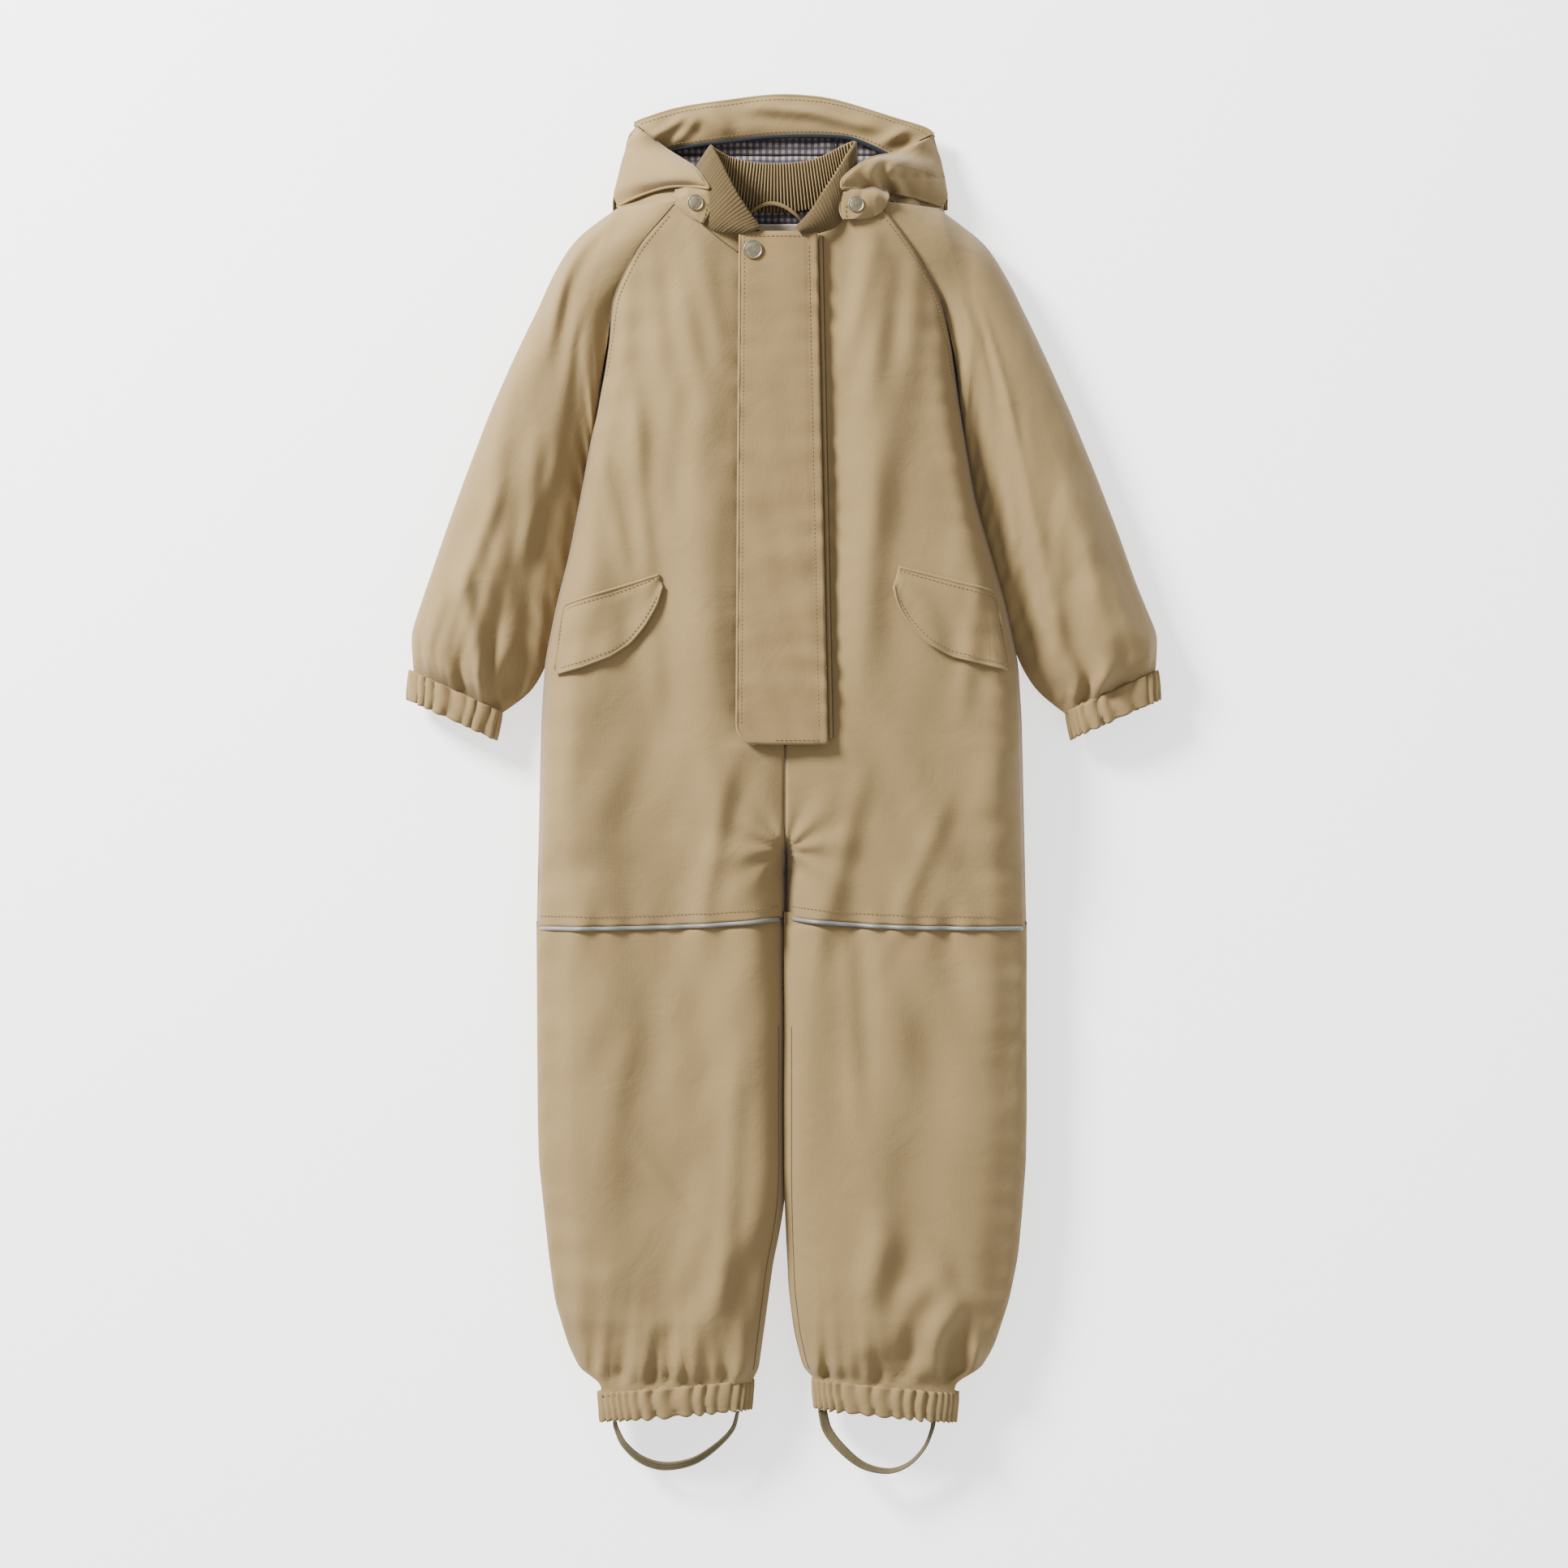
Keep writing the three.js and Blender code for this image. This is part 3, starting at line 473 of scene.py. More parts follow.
# a dark copy of the shell cloth: painted shade, for the thin lines along the seams' grooves
SEAM_SHADE = cloth_material("shell_seam_painted_shade", shade(SAND, 0.45), mottle=0.15), "shell_fabric"
THREAD = cloth_material("thread", shade(SAND, 0.80), weave=0.0004), "shell_fabric"
RIB = rib_material("rib_knit", (0.285, 0.195, 0.082), RIB_PITCH * MM), "rib_knit"
GINGHAM = gingham_material("gingham", 0.0045), "gingham_lining"
NAVY = cloth_material("navy_elastic", (0.006, 0.009, 0.013), weave=0.0009, depth=0.0002), "navy_elastic"
CREAM = cloth_material("cream_tape", (0.50, 0.43, 0.33), weave=0.0005), "cream_label"
OLIVE = cloth_material("olive_elastic", (0.105, 0.082, 0.040), weave=0.0012, depth=0.0003), "olive_elastic"
TAPE = cloth_material("zip_tape", (0.16, 0.115, 0.055), weave=0.0009, depth=0.0002), "zip_tape"
PEWTER = metal_material("antique_pewter", (0.235, 0.205, 0.140), 0.36), "antique_metal"
LOOP = SHELL[0], "loop_cord"
LINING_SEAM = NAVY[0], "gingham_lining"
BRASS = metal_material("zip_brass", (0.42, 0.34, 0.19), 0.3)
GLASS_BEAD = reflective_material("reflective_tape", (0.15, 0.15, 0.138)), "reflective_piping"


def dress(obj, look):
    material, slot_name = look
    obj.data.materials.clear()
    obj.data.materials.append(material)


def ride(obj, look, body="coverall", nodes=()):
    """Dresses a piece, fixes it to a body, and lets it stand for CAD nodes."""
    dress(obj, look)
    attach(obj, body)
    if nodes:
        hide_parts(*nodes)


def face_up(points):
    """A grid of points in the column order whose faces look up."""
    j, i = points.shape[0] // 3, points.shape[1] // 3
    up = np.cross(points[j, i + 1] - points[j, i], points[j + 1, i] - points[j, i])[2]
    return points if up > 0 else points[:, ::-1]


def patch(name, near, far, rows, cols, lift=None, thickness=0.0):
    """A skin between two lines of control points; lift(u, v, x, y) is added to its height."""
    a, b = smooth_line(near, cols), smooth_line(far, cols)
    u, v = np.meshgrid(np.linspace(0, 1, cols), np.linspace(0, 1, rows))
    points = mix(a[None], b[None], v[..., None])
    if lift is not None:
        points[..., 2] += lift(u, v, points[..., 0], points[..., 1])
    return grid_object(name, points, thickness=thickness), points


# ---------------------------------------------------------------- the coverall's body
LEG_ROWS = np.linspace(ANKLE_Y, KNEE_Y + 1, 120)
LEG_OUT, LEG_IN = {}, {}
for sign in (RIGHT, LEFT):
    low, high = slices([NAMES[sign] + "_lower_leg_front"], Y_AXIS, X_AXIS, np.clip(LEG_ROWS, ANKLE_Y + 0.5, -103))
    outer, inner = (low, high) if sign == RIGHT else (high, low)
    LEG_OUT[sign], LEG_IN[sign] = blur(outer, 5), blur(inner, 5)


def outer_x(sign, y):
    """The garment's side edge: torso above the knee seam, leg below it."""
    return np.where(y > KNEE_Y, side_x(sign, y), np.interp(y, LEG_ROWS, LEG_OUT[sign]))


def inner_x(sign, y):
    """The inner edge of a leg, or the middle of the garment above the legs."""
    apart = 1 - smooth(*LEG_GAP_Y, y)
    return np.where(y > KNEE_Y, sign * 0.2, mix(sign * 0.2, np.interp(y, LEG_ROWS, LEG_IN[sign]), apart))


def edge_z(y):
    """Height of the side seam; it climbs along the raglan seam to the neck."""
    return SEAM_Z - 3 * (1 - smooth(-412, -330, y)) + 29 * smooth(UNDERARM_Y + 4, RAGLAN_TOP_Y - 12, y)


def crown_z(y):
    """Height of the middle of the front, from the ankles to the chest."""
    return np.interp(y, [-415, -400, -370, -250, KNEE_Y, -60, 27, 110, 420],
                     [33, 38, 42, 44, 43.5, 46, 52, CHEST_Z - 1, CHEST_Z - 1])


def ridge(x, y, a, b, width, height):
    """A fold along the line from a to b: a rounded crest with a dip on its lower right."""
    dx, dy = b[0] - a[0], b[1] - a[1]
    span = math.hypot(dx, dy)
    t = ((x - a[0]) * dx + (y - a[1]) * dy) / span ** 2
    off = ((x - a[0]) * dy - (y - a[1]) * dx) / span
    fade = 0.25
    ends = smooth(-fade, fade, t) * smooth(-fade, fade, 1 - t)
    dip = 0.6 * np.exp(-((off - 1.7 * width) / (1.1 * width)) ** 2)
    return height * ends * (np.exp(-(off / width) ** 2) - dip)


def creases(x, y, seed, count, span, area, lean=0.0, spread=0.5, height=1.6):
    """Short soft folds scattered over an area (x0, y0, x1, y1), most at the angle lean from +Y."""
    rng = np.random.default_rng(seed)
    total = np.zeros(np.broadcast(x, y).shape)
    for _ in range(count):
        cx, cy = rng.uniform(area[0], area[2]), rng.uniform(area[1], area[3])
        angle = lean + rng.normal(0, spread)
        half = span * rng.uniform(0.35, 0.8)
        ax, ay = math.sin(angle) * half, math.cos(angle) * half
        width = rng.uniform(6, 15)
        total = total + ridge(x, y, (cx - ax, cy - ay), (cx + ax, cy + ay), width, height * rng.uniform(0.4, 1.0))
    return total


def on_side(sign, near, far, y0, y1):
    """An area on one side of the garment, given by its distances from the middle."""
    return (min(sign * near, sign * far), y0, max(sign * near, sign * far), y1)


def body_folds(sign, x, y):
    """Soft drapes of the shell cloth over the torso and thighs, in mm."""
    out = np.abs(outer_x(sign, y) - x)
    quiet = smooth(28, 50, np.abs(x)) * smooth(24, 40, y) + 1 - smooth(24, 40, y)
    z = 3.4 * folds(x, y * 0.6, 84, 11 + sign, 4) * (0.25 + 0.75 * quiet) * smooth(4, 26, out)
    z += 0.9 * folds(x + 0.25 * sign * y, y, 42, 23 + sign) * quiet * smooth(2, 20, out)
    z += 0.9 * folds(y + 0.5 * sign * x, x, 90, 31 + sign) * quiet
    # drapes that fall from the shoulder towards the flap and the chest
    for k, (x0, x1, y1) in enumerate(((66, 44, 300), (78, 58, 268), (92, 84, 282), (104, 116, 296))):
        high = 2.6 + 0.4 * math.sin(3 * k + sign)
        z += ridge(x, y, (sign * x0, 388 - 5 * k), (sign * x1, y1), 8.5, high) * quiet
    # the flap's seam holds the cloth down, and folds start from it
    z -= 2.2 * np.exp(-np.maximum(0, np.abs(x) - 31) / 9) * smooth(24, 60, y)
    z += 1.5 * ridge(x, y, (sign * 62, 255), (sign * 52, 60), 15, 2.0)
    # short creases on the chest, above the knee and below it
    z += creases(x, y, 37 + sign, 6, 95, on_side(sign, 45, 150, 40, 250), 0.12 * sign, 0.16, 2.6) * quiet
    z += creases(x, y, 43 + sign, 4, 80, on_side(sign, 20, 150, -85, 10), 0.1 * sign, 0.4, 2.0)
    z += creases(x, y, 57 + sign, 7, 100, on_side(sign, 25, 150, -380, -130), 0.15 * sign, 0.35, 2.6)
    # tucks where the side seam, the flap's seam and the knee seam draw the cloth in
    z += 1.5 * gathers(y, out, 21, 12, 41 + sign) * smooth(0, 4, out)
    z += 0.8 * gathers(y, np.maximum(0, np.abs(x) - 27), 17, 9, 47 + sign) * smooth(20, 40, y)
    z += 1.2 * gathers(x, np.abs(y - KNEE_Y), 24, 14, 53 + sign)
    # cloth drawn towards the point where the legs part
    crotch = np.hypot(x, y + 44)
    z += 2.0 * np.exp(-crotch / 34) * np.sin(np.arctan2(np.abs(x), y + 44) * 9 + sign) * smooth(0, 10, crotch)
    z -= 7 * np.exp(-(x / 4.5) ** 2 - ((y + 46) / 9) ** 2)
    return z


def front_z(sign, x, y, wrinkle=True):
    """Height of the front of the torso and legs."""
    out = np.abs(outer_x(sign, y) - x)
    centre = np.abs(x - inner_x(sign, y))
    legs = 1 - smooth(*CROTCH_Y, y)
    raise_edge = smooth(UNDERARM_Y, RAGLAN_TOP_Y, y)
    dome = puff(out, 11 + 24 * raise_edge + 12 * legs) * (1 - legs * np.exp(-centre / 10))
    z = mix(edge_z(y), crown_z(y), dome)
    if wrinkle:
        z = z + body_folds(sign, x, y) * mix(0.5, 1, np.clip(dome, 0, 1))
    return z


def back_z(sign, x, y):
    """Height of the back: flat on the table, and turned up at its edges."""
    out = np.abs(outer_x(sign, y) - x)
    centre = np.abs(x - inner_x(sign, y))
    legs = 1 - smooth(*CROTCH_Y, y)
    lift = np.exp(-out / 12) + legs * np.exp(-centre / 11)
    z = mix(1.0, edge_z(y) - 16 * smooth(UNDERARM_Y, RAGLAN_TOP_Y, y), np.clip(lift, 0, 1))
    return z + np.abs(0.5 * folds(x, y, 48, 61 + sign))


def knee_line(s):
    """The knee seam's y, from the side seam at s = 0 in to the crotch seam."""
    return KNEE_Y + 7 * s ** 3


def torso_panel(sign, front):
    """Half of the torso with its thigh, from the side seam in to the zip and the crotch seam."""
    rows, cols = 205, 66
    s = np.linspace(0, 1, cols) ** 0.92
    v = np.linspace(0, 1, rows)[:, None]
    bottom = knee_line(s)[None]
    top = (NECK_Y + 22 * smooth(0.28, 0.68, 1 - s) if front else 392 + 8 * (1 - s) ** 2)[None]
    y = mix(bottom, top, v)
    # the zip shows between the halves of the front, and the halves of the back lap
    gap = np.where(y > 36, 2.9, 0.4) if front else np.full_like(y, -0.8)
    x = mix(side_x(sign, y), sign * gap, s[None])
    if not front:
        lap = 0.9 * smooth(0.97, 1, s)[None] if sign == LEFT else 0
        return np.stack([x, y, back_z(sign, x, y) + lap], axis=2)
    z = front_z(sign, x, y)
    # each half of the front turns down beside the zip, and both meet in the crotch seam below it
    turn = smooth(0.975, 1, s)[None] * smooth(*ZIP_END_Y, y)
    z = z - 4.6 * turn
    return np.stack([x, y, z], axis=2)


PANELS = {}
for sign in (RIGHT, LEFT):
    side = NAMES[sign]
    for front in (True, False):
        face = "front" if front else "back"
        points = torso_panel(sign, front)
        flip = (sign == RIGHT) == front
        points = points if flip else points[:, ::-1]
        panel = grid_object(f"{side}_{face}_shell", points, thickness=SHELL_T)
        ride(panel, SHELL, "coverall", [f"{side}_{face}_panel"])
        PANELS[sign, front] = points


def on_front(sign, line, rise=0.5):
    """A line of (x, y) points laid on the front of the torso or leg."""
    line = np.array(line, float)
    z = front_z(sign, line[:, 0], line[:, 1])
    return np.column_stack([line[:, 0], line[:, 1], z + rise])


# ---------------------------------------------------------------- lower legs
LEG_COLS = 66


def lower_leg(sign):
    """A leg below the knee: a closed skin, gathered into its cuff."""
    side, rows = NAMES[sign], 150
    cuff_low, cuff_high = node_box(side + "_ankle_cuff")
    cuff_half, cuff_middle = (cuff_high[0] - cuff_low[0]) / 2, (cuff_high[0] + cuff_low[0]) / 2
    bottom = cuff_high[1] - 5.5
    s = 0.5 - 0.5 * np.cos(math.pi * np.linspace(0, 1, LEG_COLS))
    v = np.linspace(0, 1, rows)[:, None]
    ring = []
    for front, share in ((True, s), (False, s[::-1][1:])):
        top = (knee_line(share) + 3.5)[None]
        slant = (0.09 * 2 * cuff_half * (share - 0.5))[None]
        y = mix(bottom + slant, top, v)
        yy = np.minimum(y, KNEE_Y - 0.5)
        x = mix(outer_x(sign, yy), inner_x(sign, yy), share[None])
        end = np.maximum(0, y - bottom)
        # the leg narrows into its cuff, whose elastic gathers the cloth
        outer, inner = outer_x(sign, bottom + 6), inner_x(sign, bottom + 6)
        middle = (outer + inner) / 2
        shrink = (cuff_half - 2.5) / (abs(outer - inner) / 2)
        above = smooth(0, 16, end)
        x = cuff_middle + (x - middle) * mix(1, shrink, 1 - above) + (middle - cuff_middle) * above
        if front:
            z = front_z(sign, x, y)
            body = smooth(0, 6, 60 * np.minimum(share, 1 - share))
            tucks = gathers(x, end, 12, 20, 71 + sign, 4) + gathers(x, end, 25, 46, 73 + sign, 3)
            z += 4.4 * tucks * body
            fine = gathers(x, end, 8, 13, 79 + sign, 3)
            z += 2.2 * (np.abs(fine) - 0.4) * body * smooth(0, 6, end)
            area = (cuff_middle - 50, 10, cuff_middle + 50, 90)
            z += creases(x, end, 77 + sign, 9, 46, area, 0.3 * sign, 0.45, 3.0) * body
            z = mix(z, 33.5 - 6 * np.abs(2 * share - 1) ** 4, 1 - smooth(1, 12, end))
        else:
            z = back_z(sign, x, y)
            z = mix(z, 6.5 + 9 * np.abs(2 * share - 1) ** 4, 1 - smooth(1, 12, end))
            z += 1.0 * np.abs(gathers(x, end, 13, 20, 91 + sign, 4))
        # the top tucks under the thigh, and the legs lap a little where they touch
        z = z - 1.6 * smooth(KNEE_Y - 2, KNEE_Y + 3, y) * (1 if front else -1)
        touch = np.exp(-np.abs(x - inner_x(sign, yy)) / 7) * smooth(LEG_GAP_Y[0] + 5, LEG_GAP_Y[1], y)
        x = x - sign * 1.1 * touch
        z = z + sign * 4.5 * touch
        ring.append(np.stack([x, y, z], axis=2))
    points = np.concatenate(ring, axis=1)
    if sign == LEFT:
        points = points[:, ::-1]
    obj = grid_object(side + "_lower_leg_shell", points, closed=True)
    dress(obj, SHELL)
    middle = (outer_x(sign, KNEE_Y) + inner_x(sign, KNEE_Y)) / 2
    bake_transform(obj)
    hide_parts(side + "_lower_leg_front", side + "_lower_leg_back")
    # the inseam runs a little way in from the inner edge, drawn as a thin tube of painted shade along its groove
    seam = ring[0][:, LEG_COLS - 8]
    seam = seam[(seam[:, 1] > ANKLE_Y + 7) & (seam[:, 1] < KNEE_Y - 68)] + [0, 0, 0.1]
    ride(tube(side + "_inseam_shade", seam, 0.35, 6), SEAM_SHADE, side + "_lower_leg")


for sign in (RIGHT, LEFT):
    lower_leg(sign)


def cuff(side, part, body, centre, across, ahead, half, high, mid_z, length, slant, pleats, seed, rise):
    """An elastic cuff: a tube whose cloth stands in uneven tucks, tightest along the elastic.

    A gathered wall inside its upper end closes it against the cloth that runs into it.
    """
    rng = np.random.default_rng(seed)
    cols, rows = pleats * 7, 12
    a = np.linspace(0, 2 * math.pi, cols + 1)
    c = np.sign(np.cos(a)) * np.abs(np.cos(a)) ** 0.8
    s = np.sign(np.sin(a)) * np.abs(np.sin(a)) ** 0.8
    phase = pleats * a + 1.5 * np.sin(3 * a + rng.uniform(0, 6)) + 1.1 * np.sin(7 * a + rng.uniform(0, 6))
    size = 0.72 + 0.2 * np.sin(5 * a + rng.uniform(0, 6)) + 0.2 * np.sin(11 * a + rng.uniform(0, 6))
    points = []
    for v in np.linspace(0, 1, rows):
        elastic = 0.55 + 0.9 * abs(v - 0.5)
        wave = rise * size * (2 * np.abs(np.sin((phase + 0.7 * np.sin(4 * v + a * 2)) / 2)) - 1.2) * elastic
        swell = 1.0 * math.sin(math.pi * v)
        radius_x = half * (1 - 0.03 * v) + (wave + swell) * np.abs(c)
        radius_z = high + (wave + swell) * np.abs(s)
        p = (np.array(centre)[None] + across[None] * (radius_x * c)[:, None]
             + ahead[None] * (v * length + slant * half * c + 0.5 * wave * (v > 0.8))[:, None])
        p[:, 2] = mid_z + radius_z * s
        points.append(p)
    points = np.array(points)
    points[:, -1] = points[:, 0]
    ring = grid_object(f"{side}_{part}_cloth", points, closed=True, thickness=1.2)
    inset = points[1].copy()
    inset += across[None] * (-5 * c)[:, None] - ahead[None] * 4
    inset[:, 2] -= 5 * s
    inset[-1] = inset[0]
    gather = np.array([mix(points[1], inset, k) for k in np.linspace(0.08, 1, 6)])
    ride(ring, SHELL, body, [f"{side}_{part}"])
    ride(grid_object(f"{side}_{part}_inner_gather", gather, closed=True), SHELL, body)


for sign in (RIGHT, LEFT):
    side = NAMES[sign]
    low, high = node_box(side + "_ankle_cuff")
    slant = {RIGHT: 0.082, LEFT: 0.097}[sign] * sign
    half = (high[0] - low[0]) / 2 - 1.2
    centre = ((low[0] + high[0]) / 2, (low[1] + high[1]) / 2 + 10.5, 0)
    cuff(side, "ankle_cuff", side + "_lower_leg", centre, X_AXIS, -Y_AXIS, half, 15.5, 20, 20.5, slant,
         36, 5 + sign, 2.6)


# ---------------------------------------------------------------- sleeves with their raglan heads
SLEEVE_ROWS = np.linspace(50, 398, 120)
SLEEVE_AHEAD = {sign: np.array([sign * 0.14, -0.99, 0]) for sign in (RIGHT, LEFT)}


def sleeve_edges(sign):
    """The outer and the inner edge of a sleeve in plan, from the neck and the underarm to the cuff."""
    side = NAMES[sign]
    names = [side + "_shoulder_front", side + "_sleeve_front"]
    low, high = slices(names, Y_AXIS, X_AXIS, SLEEVE_ROWS)
    out, inn = (low, high) if sign == RIGHT else (high, low)
    out = blur(out, 4)
    keep = SLEEVE_ROWS > 78
    outer = np.column_stack([out[keep], SLEEVE_ROWS[keep]])[::-1]
    neck = [side_x(sign, RAGLAN_TOP_Y - 1), RAGLAN_TOP_Y - 1]
    outer = np.vstack([neck, outer])
    below = SLEEVE_ROWS < UNDERARM_Y - 2
    inner = np.column_stack([blur(inn[below], 4), SLEEVE_ROWS[below]])[::-1]
    return outer, inner


def by_length(line, count):
    """count points evenly along a line."""
    step = run_length(line)
    at = np.linspace(0, step[-1], count)
    return np.column_stack([np.interp(at, step, line[:, k]) for k in range(line.shape[1])])


def sleeve(sign):
    """A sleeve with its raglan head: a closed skin. Returns its two cuff ends."""
    side, rows, cols = NAMES[sign], 160, 60
    outer, inner = sleeve_edges(sign)
    outer, inner = by_length(outer, rows), by_length(inner, rows)
    # the last rows run into the cuff
    tip = SLEEVE_AHEAD[sign][:2]
    share = smooth(0.93, 1, np.linspace(0, 1, rows))[:, None]
    inward = (inner[-1] - outer[-1]) / np.linalg.norm(inner[-1] - outer[-1])
    cuff_ends = (outer[-1].copy(), inner[-1].copy())
    outer, inner = outer + share * (tip * 4 + inward * 4), inner + share * (tip * 4 - inward * 3)
    ring = []
    v = np.linspace(0, 1, rows)
    for front in (True, False):
        u = 0.5 - 0.5 * np.cos(math.pi * np.linspace(0, 1, cols))
        if not front:
            u = u[::-1][1:]
        points = np.zeros((rows, len(u), 3))
        for j in range(rows):
            p = mix(outer[j][None], inner[j][None], u[:, None])
            # the first rows follow the curved raglan seam
            y = mix(RAGLAN_TOP_Y - 1, UNDERARM_Y - 2, u)
            seam = np.column_stack([side_x(sign, y) + sign * 0.2, y])
            p0 = mix(outer[0][None], inner[0][None], u[:, None])
            p = p + (seam - p0) * (1 - smooth(0, 0.3, v[j]))
            points[j, :, :2] = p
        width = np.linalg.norm(outer - inner, axis=1)[:, None]
        from_out, from_in = u[None] * width, (1 - u[None]) * width
        vv = v[:, None] * np.ones_like(u)[None]
        x, y = points[..., 0], points[..., 1]
        raglan = edge_z(points[0, :, 1])[None]
        near = 1 - smooth(0, 0.17, vv)
        if front:
            edge = mix(17, 14, vv)
            crown = mix(43, 26, smooth(0.35, 1.0, u[None]) * smooth(0.08, 0.3, vv))
            crown = crown - 3 * smooth(0.8, 1, vv)
            z = mix(edge, crown, puff(from_out, 17) * puff(from_in, 15))
            # the head leaves the seam level with the torso
            z = mix(z, raglan - 1.0, near * (0.25 + 0.75 * smooth(0, 0.5, 1 - u[None])))
            span = 300 * (1 - vv)
            down = 330 * vv
            inside = smooth(0, 16, np.minimum(from_out, from_in))
            wrinkle = 2.2 * folds(from_out, down * 0.7, 52, 101 + sign, 4)
            wrinkle = wrinkle + 1.2 * folds(down + 0.8 * from_out, from_out, 90, 107 + sign)
            wrinkle += creases(from_out, down, 103 + sign, 8, 84, (8, 20, 82, 300), 0.22, 0.22, 3.0)
            wrinkle += 1.6 * gathers(down, from_in, 24, 16, 109 + sign) * smooth(0, 5, from_in)
            wrinkle += 1.5 * gathers(down, from_out, 30, 14, 119 + sign) * smooth(0, 5, from_out)
            wrinkle = wrinkle * smooth(0, 0.10, vv) * inside
            # the cuff's elastic gathers the cloth
            tucks = gathers(from_out, span, 13, 24, 113 + sign, 4)
            tucks = tucks + 0.9 * gathers(from_out, span, 26, 48, 117 + sign, 3)
            wrinkle += 3.8 * tucks * smooth(0, 8, np.minimum(from_out, from_in))
            fine = np.abs(gathers(from_out, span, 8, 14, 121 + sign, 3)) - 0.4
            wrinkle += 2.0 * fine * smooth(0, 8, span)
            wrinkle += creases(from_out, span, 123 + sign, 9, 46, (8, 15, 85, 100), 0.4, 0.4, 3.0) * inside
            z = z + wrinkle
            z = mix(z, 22.5 - 5 * np.abs(2 * u[None] - 1) ** 4, (1 - smooth(1, 13, span)))
        else:
            lift = np.clip(np.exp(-from_out / 10) + np.exp(-from_in / 10), 0, 1)
            z = mix(1.0, mix(17, 14, vv), lift)
            z = mix(z, (raglan - 20) * 0.5 + 2, near * smooth(0, 0.5, 1 - u[None]))
            z = np.maximum(0.6, z + np.abs(0.6 * folds(from_out, 330 * vv, 40, 127 + sign)))
            z = mix(z, 7.5 + 4 * np.abs(2 * u[None] - 1) ** 4, 1 - smooth(1, 13, 190 * (1 - vv)))
        points[..., 2] = z
        ring.append(points)
    ring[1][:, -1] = ring[0][:, 0]
    points = np.concatenate(ring, axis=1)
    if sign == RIGHT:
        points = points[:, ::-1]
    obj = grid_object(side + "_sleeve_shell", points[::-1], closed=True)
    dress(obj, SHELL)
    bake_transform(obj)
    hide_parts(side + "_shoulder_front", side + "_shoulder_back",
                side + "_sleeve_front", side + "_sleeve_back")
    return cuff_ends


for sign in (RIGHT, LEFT):
    side, ahead = NAMES[sign], SLEEVE_AHEAD[sign]
    b, a = sleeve(sign)
    across = np.array([b[0] - a[0], b[1] - a[1], 0])
    half = np.linalg.norm(across) / 2
    across = across / (2 * half)
    centre = np.array([(a[0] + b[0]) / 2, (a[1] + b[1]) / 2, 0]) - ahead * 0.5
    cuff(side, "sleeve_cuff", side + "_sleeve", centre, across, ahead, half - 1.5, 11.0, 15, 20, 0.0,
         21, 9 + sign, 2.3)


# ---------------------------------------------------------------- shoulders under the hood's folded sides
for sign in (RIGHT, LEFT):
    side = NAMES[sign]
    neck_x, y0 = abs(side_x(sign, RAGLAN_TOP_Y)), RAGLAN_TOP_Y
    wide = abs(node_box(side + "_hood_wing")[0 if sign == RIGHT else 1][0])
    near = [(sign * (wide - 1.5), y0 - 6, 17), (sign * (neck_x + 16), y0 - 5, 36), (sign * neck_x, y0 - 5, 49),
            (sign * (neck_x - 20), y0 - 6, 54)]
    far = [(sign * (wide - 7), y0 + 6, 13), (sign * (neck_x + 14), y0 + 15, 28), (sign * (neck_x - 2), y0 + 17, 40),
           (sign * (neck_x - 20), y0 + 17, 46)]
    yoke, _ = patch(side + "_shoulder_top_shell", near[::-sign], far[::-sign], 14, 40,
                    lambda u, v, x, y: 0.8 * folds(x, y, 30, 139), SHELL_T)
    ride(yoke, SHELL)

# ---------------------------------------------------------------- foot straps
for sign in (RIGHT, LEFT):
    side = NAMES[sign]
    low, high = node_box(side + "_foot_strap")
    width = high[0] - low[0]
    sx = high[0] if sign == RIGHT else low[0]
    # shares of the strap's width and drop, from its inner end round to its outer end
    reach = [(0.0, 1.28), (0.05, 0.86), (0.2, 0.45), (0.38, 0.14), (0.6, 0.02), (0.78, 0.16), (0.92, 0.5),
             (0.99, 0.88), (1.01, 1.18)]
    path = [(sx + sign * width * a, low[1] + 1.5 + (high[1] - low[1]) * b, 21 + 3 * math.sin(7 * a))
            for a, b in reach]
    line = smooth_line(path, 110)
    face = np.cross(heading(line), [0, 0, 1.0])
    band = []
    for w in np.linspace(-1, 1, 7):
        twist = 0.5 + 0.35 * np.sin(np.linspace(0, 5, 110) + sign)
        edge = face * (w * 3.4 * twist)[:, None]
        edge[:, 2] += w * 2.6 * (1 - 0.4 * twist) + 0.3 * np.cos(w * 9)
        band.append(line + edge)
    strap = grid_object(side + "_foot_strap_elastic", np.array(band), thickness=1.2)
    ride(strap, OLIVE, side + "_foot_strap", [side + "_foot_strap"])

